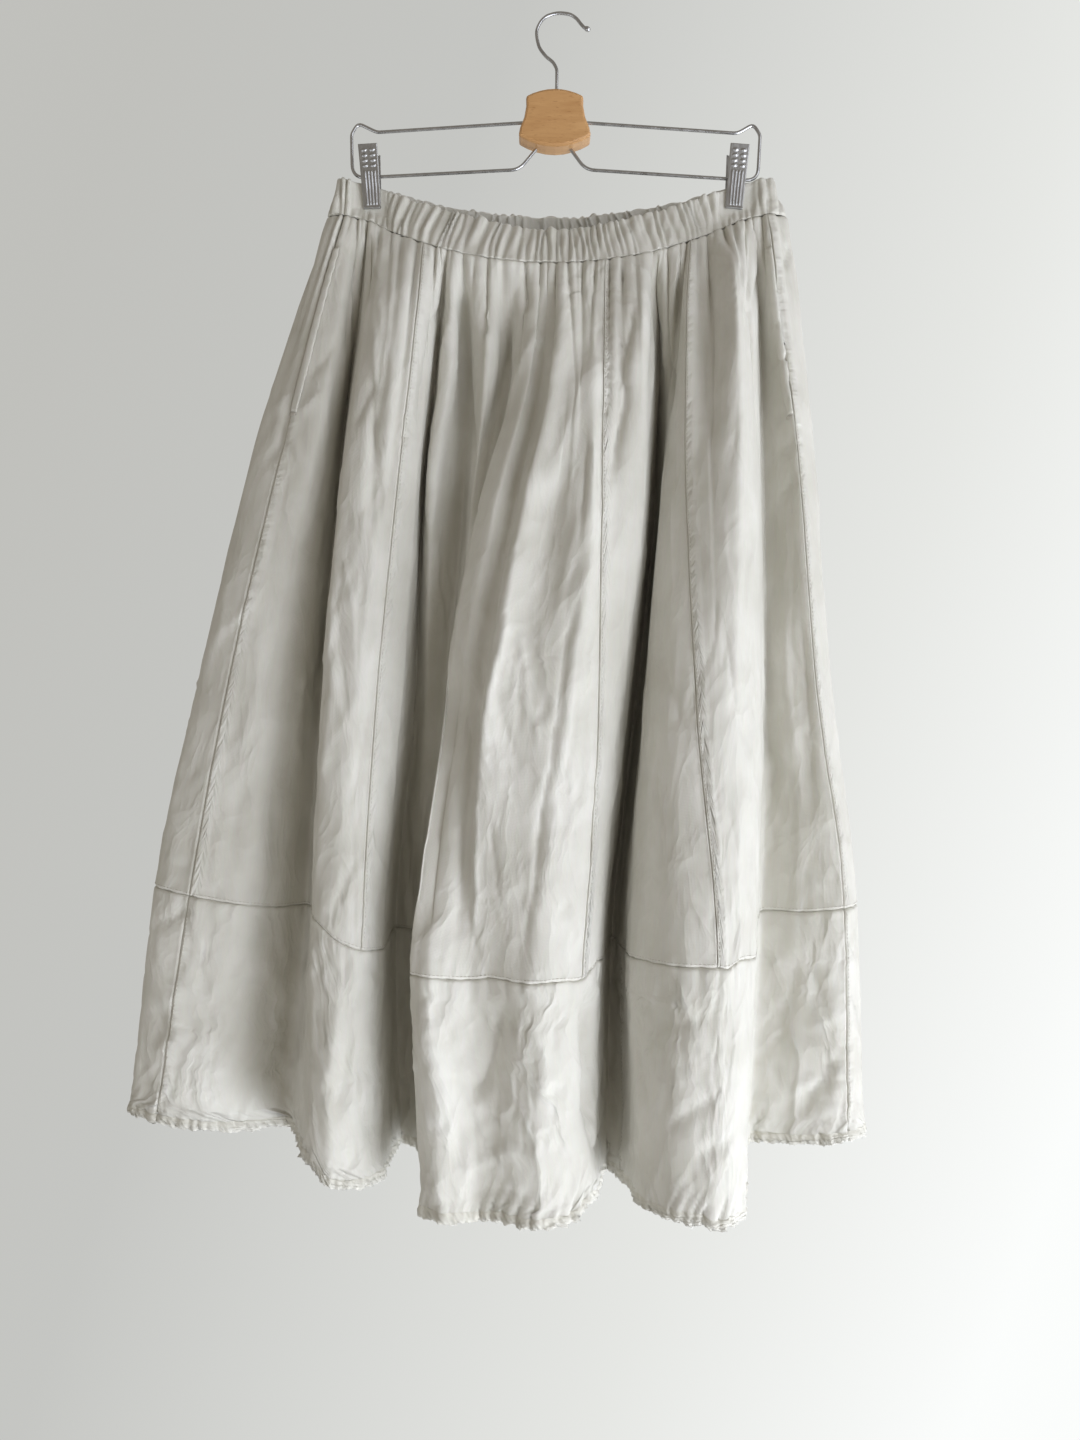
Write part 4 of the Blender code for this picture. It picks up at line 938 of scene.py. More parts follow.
print("finishes so far:", len(bpy.data.materials))

# %% [markdown]
# ## The colour of washed cotton
# The cloth is a warm grey white, a little blotchy from the wash, with thicker threads, called slubs,
# that run down it, and paler where creases have been rubbed. One colour would look like paper. The
# slubs follow the cloth's own flat layout, which each panel keeps in millimetres. How worn a point is
# comes with the mesh, as a number on each point.

# %% The colour of washed cotton
COTTON_TONES = ((0.598, 0.582, 0.518), (0.682, 0.667, 0.608))
WORN_TONE = (0.80, 0.79, 0.75, 1)


def cotton_colour(nodes, thread, tones):
    """Faint blotches, slubs and paler worn creases."""
    place = nodes.place()
    blotch = nodes.noise(place, 14.0, 4.0, Roughness=0.6)
    base = ramp(nodes, blotch, ((0.35, tones[0]), (0.65, tones[1])))
    slub = nodes.noise(nodes.scaled(thread, (900.0, 60.0, 1.0)), 1.0, 2.0, "Color")
    slubbed = nodes.add("ShaderNodeMix", {"Factor": 0.10, 6: base, 7: slub},
                        data_type="RGBA", blend_type="SOFT_LIGHT")
    wear = nodes.kept("wear")
    worn = nodes.add("ShaderNodeMix", {"Factor": wear, 6: slubbed.outputs[2], 7: WORN_TONE},
                     data_type="RGBA")
    nodes.into("Base Color", worn.outputs[2])


print("tones of the cotton:", COTTON_TONES)

# %% [markdown]
# ## The surface of washed cotton
# Four reliefs lie on one another: flat facets and sharp ridges of crumpled cloth, puckers drawn along
# by a seam's thread, and the fine plain weave over all of them. They could be real shape too, but at
# the cost of millions of faces, and from a metre away only their shading is seen. Each bump node
# takes the one below it as its normal, so they add up.

# %% The surface of washed cotton
THREADS = 290.0              # of the weave's waves
FACETS, RIDGES = 34.0, 30.0  # to a metre of cloth


def weave_height(nodes, thread):
    """Threads over and under one another, one wave along the cloth and one across it."""
    waves = []
    for direction in ("X", "Y"):
        sockets = {"Vector": thread, "Scale": THREADS, "Distortion": 0.6, "Detail": 1.0, "Detail Scale": 3.0}
        waves.append(nodes.add("ShaderNodeTexWave", sockets, bands_direction=direction).outputs["Fac"])
    return nodes.add("ShaderNodeMath", {0: waves[0], 1: waves[1]}, operation="MAXIMUM").outputs[0]


def relief_over(nodes, height, strength, distance, below=None):
    """One more relief, on top of the one below it."""
    sockets = {"Height": height, "Strength": strength, "Distance": distance}
    if below is not None:
        sockets["Normal"] = below
    return nodes.add("ShaderNodeBump", sockets).outputs["Normal"]


def cotton_relief(nodes, thread):
    """Crumpled facets and ridges, puckers beside the seams, and the weave."""
    weave = weave_height(nodes, thread)
    down = nodes.scaled(thread, (1.0, 0.5, 1.0))
    wander = nodes.noise(down, 16.0, 2.0, "Color")
    mixed = nodes.add("ShaderNodeMix", {"Factor": 0.06, 4: down, 5: wander},
                      data_type="VECTOR", blend_type="MIX")
    bent = mixed.outputs[1]
    facets = nodes.add("ShaderNodeTexVoronoi", {"Vector": bent, "Scale": FACETS, "Randomness": 1.0},
                       voronoi_dimensions="2D", feature="F1")
    ridges = nodes.add("ShaderNodeTexNoise", {"Vector": bent, "Scale": RIDGES, "Detail": 3.0,
                                              "Roughness": 0.5, "Offset": 0.9, "Gain": 2.0},
                       noise_type="RIDGED_MULTIFRACTAL")
    crumple = nodes.kept("crumple")
    flat = relief_over(nodes, facets.outputs["Distance"], crumple, 0.0035)
    sharp = relief_over(nodes, ridges.outputs["Fac"], crumple, 0.0016, flat)
    pucker = nodes.kept("pucker")
    drawn = nodes.noise(nodes.scaled(thread, (34.0, 150.0, 1.0)), 1.0, 2.0, Roughness=0.45)
    sewn = relief_over(nodes, drawn, pucker, 0.0022, sharp)
    nodes.into("Normal", relief_over(nodes, weave, 0.25, 0.00025, sewn))


def cotton(name="cotton_finish", tones=COTTON_TONES):
    """Washed cotton: dull, with a faint sheen from loose fibres."""
    nodes = Nodes(name)
    thread = nodes.add("ShaderNodeUVMap", uv_map="cloth").outputs["UV"]
    cotton_colour(nodes, thread, tones)
    cotton_relief(nodes, thread)
    nodes.set({"Roughness": 0.88, "Sheen Weight": 0.12, "Sheen Roughness": 0.5,
               "Specular IOR Level": 0.25})
    return nodes.material


COTTON = cotton()
FRAYED = cotton("cotton_edge_finish", ((0.60, 0.58, 0.505), (0.69, 0.672, 0.60)))
print("nodes in the cotton:", len(COTTON.node_tree.nodes))

# %% [markdown]
# ## Sewing thread
# The thread is of the cloth's colour and a little darker, because it is twisted and lies in its own
# shadow. A dark line would draw the eye to every seam. At a quarter of a millimetre thick it needs no
# weave, only a change of tone along each stitch.

# %% Sewing thread


def thread_finish():
    """Cotton thread, a little darker than the cloth."""
    nodes = Nodes("thread_finish")
    noise = nodes.noise(nodes.place(), 900.0, 2.0)
    colour = ramp(nodes, noise, ((0.3, (0.50, 0.47, 0.41)), (0.7, (0.60, 0.575, 0.52))))
    nodes.into("Base Color", colour)
    nodes.set({"Roughness": 0.7})
    return nodes.material


THREAD = thread_finish()
print("finishes so far:", len(bpy.data.materials))

# %% [markdown]
# ## Pale wood
# The hanger's hub is a block of lacquered beech. Its grain runs across the block in long lines, with
# the small dark flecks that beech has. A wave texture would draw rings like pine's; a noise that is
# stretched along the grain gives beech's quiet lines.

# %% Pale wood


def blond_wood():
    """Lacquered beech: long grain lines across the block, small flecks, faint satin gloss."""
    nodes = Nodes("blond_wood_finish")
    place = nodes.place()
    stretch = nodes.scaled(place, (9.0, 60.0, 70.0))
    grain = nodes.noise(stretch, 2.4, 5.0, Roughness=0.6, Distortion=0.4)
    base = ramp(nodes, grain, ((0.3, (0.50, 0.262, 0.098)), (0.7, (0.62, 0.355, 0.15))))
    fleck = nodes.noise(nodes.scaled(place, (160.0, 900.0, 900.0)), 1.0, 1.0)
    dark = ramp(nodes, fleck, ((0.62, (1, 1, 1)), (0.74, (0.80, 0.74, 0.66))))
    both = nodes.add("ShaderNodeMix", {"Factor": 1.0, 6: base, 7: dark},
                     data_type="RGBA", blend_type="MULTIPLY")
    nodes.into("Base Color", both.outputs[2])
    nodes.into("Normal", relief_over(nodes, grain, 0.15, 0.0004))
    nodes.set({"Roughness": 0.42, "Coat Weight": 0.25, "Coat Roughness": 0.3})
    return nodes.material


WOOD = blond_wood()
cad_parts["hub_block"].material_slots[0].material = WOOD
print("the hub is finished in:", WOOD.name)

# %% [markdown]
# ## Steel, drawn and pressed
# Wire is bright and smooth, with fine marks from being drawn. The clips are duller, pressed from
# sheet. Perfect metal looks black and white and nothing between; so noise shifts its tone and its
# roughness by a little, and the marks are nearly too shallow to see, since deep ones turn a thin wire
# into a row of sparks.

# %% Steel, drawn and pressed


def metal(name, dark, light, roughness, scale):
    """Plated steel with fine drawn or pressed marks."""
    nodes = Nodes(name)
    marks = nodes.noise(nodes.scaled(nodes.place(), scale), 1.0, 3.0)
    nodes.into("Base Color", ramp(nodes, marks, ((0.3, dark), (0.7, light))))
    ends = {"To Min": roughness - 0.07, "To Max": roughness + 0.1}
    rough = nodes.add("ShaderNodeMapRange", {"Value": marks, **ends})
    nodes.into("Roughness", rough.outputs["Result"])
    nodes.into("Normal", relief_over(nodes, marks, 0.04, 0.0001))
    nodes.set({"Metallic": 1.0})
    return nodes.material


WIRE_STEEL = metal("wire_finish", (0.44, 0.44, 0.45), (0.56, 0.56, 0.565), 0.27, (150, 150, 150))
CLIP_STEEL = metal("clip_finish", (0.42, 0.42, 0.42), (0.50, 0.50, 0.50), 0.36, (500, 500, 120))
print("finishes:", len(bpy.data.materials))

# %% [markdown]
# ## A thin shell
# Cloth, and pressed steel too, is a sheet with two faces and a narrow edge all round. Blender's
# Solidify modifier gives a sheet thickness; building both faces from two grids of points also lets
# the inner one differ from the outer, as in a folded edge. The sheet's own lengths across and down
# become its flat layout, so the weave keeps its size however the cloth is folded.

# %% A thin shell


def shell(name, outer, inner, node, finish, wear=None, crumple=None, pucker=None):
    """A closed thin shell between two sheets of points, in millimetres."""
    r, c = outer.shape[:2]
    count = r * c
    points = np.concatenate([outer.reshape(-1, 3), inner.reshape(-1, 3)]) * MM
    index = np.arange(count).reshape(r, c)
    a, b, cc, d = index[:-1, :-1], index[1:, :-1], index[1:, 1:], index[:-1, 1:]
    front = np.stack([a, b, cc, d], -1).reshape(-1, 4)
    back = front[:, ::-1] + count
    left = np.stack([index[:-1, 0], index[:-1, 0] + count, index[1:, 0] + count, index[1:, 0]], -1)
    right = np.stack([index[1:, -1], index[1:, -1] + count, index[:-1, -1] + count, index[:-1, -1]], -1)
    bottom = np.stack([index[-1, :-1], index[-1, :-1] + count, index[-1, 1:] + count, index[-1, 1:]], -1)
    top = np.stack([index[0, 1:], index[0, 1:] + count, index[0, :-1] + count, index[0, :-1]], -1)
    faces = np.concatenate([front, back, left, right, bottom, top])
    mesh = bpy.data.meshes.new(name)
    mesh.vertices.add(len(points))
    mesh.vertices.foreach_set("co", points.ravel())
    mesh.loops.add(faces.size)
    mesh.loops.foreach_set("vertex_index", faces.ravel())
    mesh.polygons.add(len(faces))
    mesh.polygons.foreach_set("loop_start", np.arange(0, faces.size, 4))
    mesh.update(calc_edges=True)
    mesh.shade_smooth()
    steps_across = np.linalg.norm(np.diff(outer, axis=1), axis=-1)
    steps_down = np.linalg.norm(np.diff(outer, axis=0), axis=-1)
    across = np.concatenate([np.zeros((r, 1)), np.cumsum(steps_across, 1)], 1)
    down = np.concatenate([np.zeros((1, c)), np.cumsum(steps_down, 0)], 0)
    across -= across[:, [c // 2]]
    cut = np.stack([across, -down], -1).reshape(-1, 2) * MM
    uv = mesh.uv_layers.new(name="cloth")
    uv.data.foreach_set("uv", cut[faces.ravel() % count].ravel())
    if wear is None:
        wear = np.zeros((r, c))
    if crumple is None:
        crumple = np.full((r, c), 0.3)
    if pucker is None:
        pucker = np.zeros((r, c))
    for title, values in (("wear", wear), ("crumple", crumple), ("pucker", pucker)):
        layer = mesh.attributes.new(title, "FLOAT", "POINT")
        layer.data.foreach_set("value", np.tile(np.clip(values, 0, 1).ravel(), 2))
    mesh.materials.append(finish)
    obj = put(name, mesh)
    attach(obj, "root")
    if node:
        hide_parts(node)
    return obj, float(np.abs(across).max() * 2), float(down[-1].mean())


def flat_area(outer):
    """Area of a sheet of points, in square metres."""
    a, b = np.diff(outer, axis=1)[:-1], np.diff(outer, axis=0)[:, :-1]
    return float(np.linalg.norm(np.cross(a, b), axis=-1).sum()) * MM * MM


print("area of a sheet of one millimetre, m2:", flat_area(np.array([[[0, 0, 0], [1, 0, 0]],
                                                                [[0, 0, 1], [1, 0, 1]]])))

# %% [markdown]
# ## Edges that turn in
# Where two panels are sewn together, each dips into the seam, and a fine groove is left between them.
# The ring's columns are too far apart for a groove of a millimetre or two. Subdividing all of the
# cloth would cost four times the faces, so only two more rows are put in beside each edge, and a
# table says how far the seam draws each row in.

# %% Edges that turn in
SEAM_DRAW = np.array([1.7, 0.5, 0.0])    # how far in the first three rows of points are drawn
NEAR_SEAM, FAR_FROM_SEAM = 0.9, 2.1      # where the two new rows stand
CRISP_END = 0.05             # of the last row's spacing


def with_seam_edges(grid, sides=(True, True), ends=(True, True)):
    """More rows and columns close to the seams, and how far in the seam draws each point."""
    def split(g, at_start):
        g = g if at_start else g[::-1]
        step = np.linalg.norm(g[1] - g[0], axis=-1, keepdims=True)
        near = g[0] + (g[1] - g[0]) * np.minimum(NEAR_SEAM / step, 0.34)
        far = g[0] + (g[1] - g[0]) * np.minimum(FAR_FROM_SEAM / step, 0.7)
        g = np.concatenate([g[:1], [near], [far], g[1:]])
        return g if at_start else g[::-1]

    def drawn_in(count, use):
        inward = np.zeros(count)
        if use[0]:
            inward[:3] = SEAM_DRAW
        if use[1]:
            inward[-3:] = SEAM_DRAW[::-1]
        return inward

    for start, on in ((True, ends[0]), (False, ends[1])):
        if on:
            grid = split(grid, start)
    turned = grid.transpose(1, 0, 2)
    for start, on in ((True, sides[0]), (False, sides[1])):
        if on:
            turned = split(turned, start)
    grid = turned.transpose(1, 0, 2)
    inward = np.maximum(drawn_in(grid.shape[0], ends)[:, None], drawn_in(grid.shape[1], sides)[None])
    return grid, inward


def with_crisp_end(sheet):
    """One more row close above the last, so that the shading stays even up to the edge."""
    close = sheet[-1] + (sheet[-2] - sheet[-1]) * CRISP_END
    return np.concatenate([sheet[:-1], [close], sheet[-1:]])


trial = np.stack(np.meshgrid(np.arange(5.0) * 3, np.arange(6.0) * 3, [0.0])[:3], -1)[:, :, 0]
print("rows and columns before and after:", trial.shape[:2], with_seam_edges(trial)[0].shape[:2])

# %% [markdown]
# ## Sewn panels
# The skirt is cut from eight gores and a band of four lengths. It could be one mesh with drawn seams.
# As separate panels, each is a piece that can be named, measured flat and cut again. A panel is a
# strip of the dressed ring between two seams, with its own thickness inwards.

# %% Sewn panels
CRUMPLED = ((0, 0.46), (250, 0.46), (500, 0.62), (570, 0.75), (SKIRT_LENGTH, 0.88))   # down the cloth
PUCKER_AT, PUCKER_REACH = 4.8, 3.4       # on the allowance's side of a seam
FAINT_AT, FAINT_REACH = 2.5, 2.0         # on its other side


def round_ring(first, last):
    """The columns from one to another, round the skirt."""
    return [(first + k) % COLUMNS for k in range((last - first) % COLUMNS + 1)]


def seam_numbers(outer, top, bottom):
    """How crumpled and how puckered each point of a panel is."""
    deep = np.interp(np.linspace(rows[top], rows[bottom], len(outer)), *zip(*CRUMPLED))
    crumple = np.tile(deep[:, None], (1, outer.shape[1]))
    steps = np.linalg.norm(np.diff(outer, axis=1), axis=-1)
    beside = np.concatenate([np.zeros((len(outer), 1)), np.cumsum(steps, 1)], 1)
    beyond = beside[:, -1:] - beside
    pucker = np.exp(-(((beside - PUCKER_AT) / PUCKER_REACH) ** 2))
    pucker = pucker + 0.4 * np.exp(-(((beyond - FAINT_AT) / FAINT_REACH) ** 2))
    return crumple, pucker


def sewn_panel(node, first, last, top, bottom):
    """One panel between two seams, from one row of the cloth to another."""
    cols = round_ring(column[first], column[last])
    ends = (True, bottom < len(rows) - 1)
    grid, inward = with_seam_edges(cloth[top:bottom + 1][:, cols], ends=ends)
    ways = with_seam_edges(cloth_out[top:bottom + 1][:, cols], ends=ends)[0]
    if not ends[1]:
        grid, inward, ways = (with_crisp_end(sheet) for sheet in (grid, inward, ways))
    normals = outward(grid, closed=False)
    edge = np.clip(inward / SEAM_DRAW[1], 0, 1)[..., None]
    normals = normals * (1 - edge) + ways * edge
    normals /= np.linalg.norm(normals, axis=-1, keepdims=True)
    outer = grid - normals * inward[..., None]
    inner = outer - normals * CLOTH
    curve = out[top:bottom + 1][:, cols]
    wear = 0.10 * np.clip(curve / 2, 0, 1)
    wear = np.pad(wear, ((2, 2 if ends[1] else 1), (2, 2)), mode="edge")
    crumple, pucker = seam_numbers(outer, top, bottom)
    obj, width, length = shell(node + "_cloth", outer, inner, node, COTTON, wear,
                               crumple=crumple, pucker=pucker)
    return obj


print("thickness of the cloth, mm:", CLOTH)

# %% The panels and their seams
GORES = (
    ("gore_front_left", "side_seam_left", "seam_a"),
    ("gore_front_mid_left", "seam_a", "seam_b"),
    ("gore_front_mid_right", "seam_b", "seam_c"),
    ("gore_front_right", "seam_c", "side_seam_right"),
    ("gore_back_right", "side_seam_right", "seam_back_a"),
    ("gore_back_mid_right", "seam_back_a", "seam_back_centre"),
    ("gore_back_mid_left", "seam_back_centre", "seam_back_b"),
    ("gore_back_left", "seam_back_b", "side_seam_left"),
)
HEM_BANDS = (
    ("hem_band_front_left", "side_seam_left", "band_seam_front"),
    ("hem_band_front_right", "band_seam_front", "side_seam_right"),
    ("hem_band_back_right", "side_seam_right", "seam_back_centre"),
    ("hem_band_back_left", "seam_back_centre", "side_seam_left"),
)
for node, first, last in GORES:
    sewn_panel(node, first, last, 0, BAND_ROW)
for node, first, last in HEM_BANDS:
    sewn_panel(node, first, last, BAND_ROW, len(rows) - 1)
print("sewn panels:", len(GORES) + len(HEM_BANDS))

# %% [markdown]
# ## Rings of the band
# The waistband is a casing, a folded strip with elastic inside, which pulls it into puffs. A strip
# bent along a curve of its own would part from the gores, so the rings of points down it come from
# the functions for the waist.

# %% Rings of the band
BAND_ROWS = np.concatenate([np.linspace(0, 0.86, 12), [0.92, 0.965, 1.0]])   # shares of the way down
RING_POINTS, TURN_POINTS = 400, 12


def along(line, shares):
    """Points at shares of the way along an open line."""
    run = arc(line)
    return np.stack([np.interp(shares * run[-1], run, line[:, k]) for k in range(3)], -1)


def band_line(side, share):
    """The band's ring share of the way down it: its front, or its back with both turned ends."""
    seam_left = between(*SIDE_SEAM_LEFT_X, share)
    if side == "front":
        return waist_front(np.linspace(seam_left, SIDE_SEAM_RIGHT_X, RING_POINTS), share)
    left, right = end_x(-1, share), end_x(1, share)
    turn_left, turn_right = left + END_TURN, right - END_TURN
    return np.concatenate([
        waist_front(np.linspace(SIDE_SEAM_RIGHT_X, turn_right, TURN_POINTS), share),
        [[right, 0, waist_back(np.array([right]), share)[0][2]]],
        waist_back(np.linspace(turn_right, turn_left, RING_POINTS), share),
        [[left, 0, waist_back(np.array([left]), share)[0][2]]],
        waist_front(np.linspace(turn_left, seam_left, TURN_POINTS), share),
    ])


print("band in front, along its top, mm:", round(float(arc(band_line("front", 0.0))[-1]), 1))

# %% [markdown]
# ## Puffs of the band
# Each puff sits over a gather of the cloth below, so both use the same troughs. But a puff isn't a
# straight rib: its troughs lean and bend, its height changes from top to seam, and many puffs have a
# shorter notch that starts from one edge and stops halfway. These notches make elastic look like
# elastic.

# %% Puffs of the band
BAND_LEAN = 8.0              # most that a trough leans to one side from top to seam
NOTCH_WIDTH, NOTCH_DEPTH = 1.3, 0.75
RIPPLE = 0.16


def band_lean(edges):
    """The gathers stand square to the band, so their tops lean towards its lowest point."""
    in_front = edges < WAIST_FRONT
    behind = (edges - WAIST_FRONT) / (WAIST_ALL - WAIST_FRONT)
    half = np.where(in_front, edges / WAIST_FRONT, behind)
    return BAND_LEAN * np.sin(2 * np.pi * half)


def band_puffs(places, share):
    """How far the gathers stand out at places round the band, share of the way down it."""
    draw = np.random.default_rng(61)
    lean = draw.normal(0, 1.6, len(GATHER_EDGES)) + band_lean(GATHER_EDGES)
    lean[[0, -1]] = 0
    bend = draw.normal(0, 1.1, len(GATHER_EDGES)) * math.sin(math.pi * share)
    bend[[0, -1]] = 0
    swell = draw.normal(0, 0.5, len(GATHER_TALLS))
    edges = np.maximum.accumulate(GATHER_EDGES + lean * (1 - share) + bend)
    edges = edges + np.arange(len(lean)) * 1e-3
    edges[0], edges[-1] = 0, max(WAIST_ALL, edges[-2] + 0.1)
    main = pillows(places, edges, GATHER_TALLS * (1 + swell * (0.5 - share)))[0]
    cuts = draw.uniform(0.3, 0.7, len(GATHER_TALLS))
    from_top = draw.random(len(cuts)) < 0.5
    depth = draw.uniform(0.1, 1.0, len(cuts)) * np.where(from_top, 1 - share, share) ** 0.8
    cut = edges[:-1] + cuts * np.diff(edges)
    puff = np.clip(np.searchsorted(edges, places, side="right") - 1, 0, len(cut) - 1)
    notch = np.exp(-((np.abs(places - cut[puff]) / NOTCH_WIDTH) ** 1.2)) * depth[puff]
    ripple = RIPPLE * np.sin(places / 2.3 + 7 * share + 3 * np.sin(places / 11))
    return main - NOTCH_DEPTH * notch + ripple


print("tallest puff halfway down, in puffs:", round(float(band_puffs(GATHER_EDGES, 0.5).max()), 2))

# %% [markdown]
# ## The gathered band
# The band is two shells in one: its outer face puffs out and its inner face puffs in, thick between
# troughs and thin in them. Its top is a fold and so is round, and its lowest row is the cloth's own
# first row, which closes the waist seam without a gap. Where a clip holds it, the puffs are pressed
# flat. A sheet with Solidify has the same thickness all over, and can't do the first of these.

# %% The gathered band
BAND_THICK = 1.9
BAND_STEP = 1.1              # between points round the band
PUFF = 2.9
LOW_PART = 0.6               # share of the way down where the puffs begin to die away
ROLL_TURNS = (85, 55, 28)    # degrees, round the fold at the top


def waist_seam(places):
    """The cloth's own first row, at places round the waist."""
    row = surface[0, waist_order]
    row = np.concatenate([row, row[:1]])
    lengths = np.concatenate([WAIST_LENGTHS[waist_order], [WAIST_ALL]])
    return np.stack([np.interp(places, lengths, row[:, k]) for k in range(3)], -1)


def band_rings(side, places, shares):
    """Rings of points down the band, how far each point puffs out, and how free of a clip it is."""
    ring, puffs, free = [], [], []
    for share in BAND_ROWS:
        line = waist_seam(places) if share == 1.0 else along(band_line(side, share), shares)
        ring.append(line)
        low = np.clip((share - LOW_PART) / (1 - LOW_PART), 0, 1)
        hold = beside_clip(line[:, 0]) * (1 - low * low * (3 - 2 * low))
        swell = between(1.0, 0.5, low) if share >= LOW_PART else between(0.86, 1.0, min(share / 0.4, 1))
        puffs.append(PUFF * swell * band_puffs(places, share) * (1 - hold))
        free.append(1 - hold)
    return np.array(ring), np.array(puffs), np.array(free)


def rolled_top(middle, normals, off, sign):
    """Rows over the fold at the top, for one face of the band."""
    caps = []
    for turn in ROLL_TURNS:
        lift = math.sin(math.radians(turn)) * (0.8 + 0.35 * off[0])
        cap = middle[0] + sign * normals[0] * (off[0] * math.cos(math.radians(turn)))[:, None]
        caps.append(cap + np.array([0, 0, 1]) * lift[:, None])
    return np.array(caps)


def waistband(node, side, start, end):
    """Half of the band, from one side seam to the other."""
    count = int((end - start) / BAND_STEP)
    places = np.linspace(start, end, count)
    ring, puffs, free = band_rings(side, places, (places - start) / (end - start))
    normals = outward(ring, closed=False)
    normals[..., 2] *= 0.3
    normals /= np.linalg.norm(normals, axis=-1, keepdims=True)
    wobble = np.interp(places, np.arange(0, WAIST_ALL + 9, 9.0),
                       np.random.default_rng(62).normal(0, 0.5, int(WAIST_ALL / 9) + 2))
    ring[..., 2] += (0.7 * puffs / PUFF + wobble * free) * (1 - BAND_ROWS[:, None])
    middle = ring - normals * BAND_THICK / 2
    sheets = []
    for sign, puff in ((1, puffs), (-1, -0.8 * puffs)):
        off = BAND_THICK / 2 + np.maximum(puff, -BAND_THICK / 2 + 0.35)
        sheet = middle + sign * normals * off[..., None]
        sheets.append(np.concatenate([rolled_top(middle, normals, off, sign), sheet]))
    wear = np.concatenate([np.full((3, count), 0.25), 0.12 * np.clip(puffs / PUFF, 0, 1)])
    obj, width, length = shell(node + "_cloth", sheets[0], sheets[1], node, COTTON, wear)
    return obj


waistband("waistband_front", "front", 0.0, WAIST_FRONT)
waistband("waistband_back", "back", WAIST_FRONT, WAIST_ALL)
print("rows of the band:", len(BAND_ROWS))

# %% [markdown]
# ## The ruffled edge
# Below the hem's stitches stands a finger's width of raw cloth. It is longer than the hem that it is
# sewn to, so it swings in and out, leans over and curls under. As a separate wavy ribbon it would
# look stuck on. So it starts on the band's own last row, and takes up the hem's puckers where they
# are, with finer flutes of its own on top.

# %% The ruffled edge
RUFFLE_SWING, RUFFLE_LEAN = 2.6, 8.0
RUFFLE_THICK = 0.6
FINE_FLUTE, FINE_SHARE = 3.9, 0.45       # the finer flutes, one from the next, and their share
CURL_UNDER, CURL_GAIN = 2.2, 3.9
RUFFLE_STEP, RUFFLE_CHANGE = 1.15, 7     # between points, and between changes of lean
RUFFLE_ROWS = np.array([0.0, 0.02, 0.1, 0.24, 0.4, 0.56, 0.72, 0.86, 0.95, 1.0])


def hem_frill(node, first, last, seed):
    """The raw edge along half of the hem."""
    draw = np.random.default_rng(seed)
    cols = round_ring(column[first], column[last])
    hem = cloth[-1, cols]
    out_ways = outward(surface)[-1, cols]
    out_ways[:, 2] = 0
    base_run = arc(surface[-1, cols])
    whole = arc(surface[-1], True)
    start = whole[cols[0]]
    count = int(base_run[-1] / RUFFLE_STEP)
    places = np.linspace(0, base_run[-1], count)
    line = np.stack([np.interp(places, base_run, hem[:, k]) for k in range(3)], -1)
    ways = np.stack([np.interp(places, base_run, out_ways[:, k]) for k in range(3)], -1)
    ways /= np.linalg.norm(ways, axis=-1, keepdims=True)
    edges, talls = pucker_edges(-1, HEM_PITCH, HEM_SEED)
    talls = np.maximum(talls, 0.5)
    knots = np.linspace(0, base_run[-1], int(base_run[-1] / RUFFLE_CHANGE))
    lean = np.interp(places, knots, draw.normal(RUFFLE_LEAN, 2.0, len(knots)))
    tip = np.interp(places, knots, draw.normal(0, 0.8, len(knots))) + draw.normal(0, 0.18, count)
    curl = np.interp(places, knots, draw.uniform(0.1, 1.4, len(knots)))
    turns = 2 * np.pi / FINE_FLUTE
    sheet, wear = [], []
    for depth in RUFFLE_ROWS:
        shifted = (start + places - lean * depth) % whole[-1]
        wave = pillows(shifted, edges, talls)[0]
        wave = wave + FINE_SHARE * np.sin(shifted * turns + 2.2 * np.sin(shifted / 9) + 2 * depth)
        swing = RUFFLE_SWING * depth**0.8 * wave
        swing = swing - CURL_UNDER * curl * max(depth - 0.6, 0) ** 1.5 * CURL_GAIN
        drop = 0.03 + depth * (FRILL_LENGTH - 0.8 + tip) - 0.9 * curl * max(depth - 0.8, 0) * 2.5
        sheet.append(line + ways * swing[:, None] - np.array([0, 0, 1]) * drop[:, None])
        wear.append(0.35 * depth**2 * (0.5 + 0.5 * np.clip(wave, 0, 1)))
    outer = np.array(sheet)
    inner = outer - ways * RUFFLE_THICK
    obj, width, length = shell(node + "_cloth", outer, inner, node, FRAYED, np.array(wear))
    return obj


hem_frill("hem_frill_front", "side_seam_left", "side_seam_right", 71)
hem_frill("hem_frill_back", "side_seam_right", "side_seam_left", 72)
print("ruffle pitch, mm:", HEM_PITCH)

# %% [markdown]
# ## Places beside a seam
# Pocket edges and stitches lie a few millimetres beside a seam, on cloth that is already folded and
# creased. The Shrinkwrap modifier could press them on to it. Here they are laid out on the cloth's
# own rows and columns from the start, so they follow each crease and never sink through one.

# %% Places beside a seam


def on_rows(grid, lengths):
    """The cloth's columns at any lengths below the waist seam."""
    seat = np.interp(lengths, rows, np.arange(len(rows)))
    low = np.minimum(seat.astype(int), len(rows) - 2)
    share = (seat - low)[:, None, None]
    return grid[low] * (1 - share) + grid[low + 1] * share


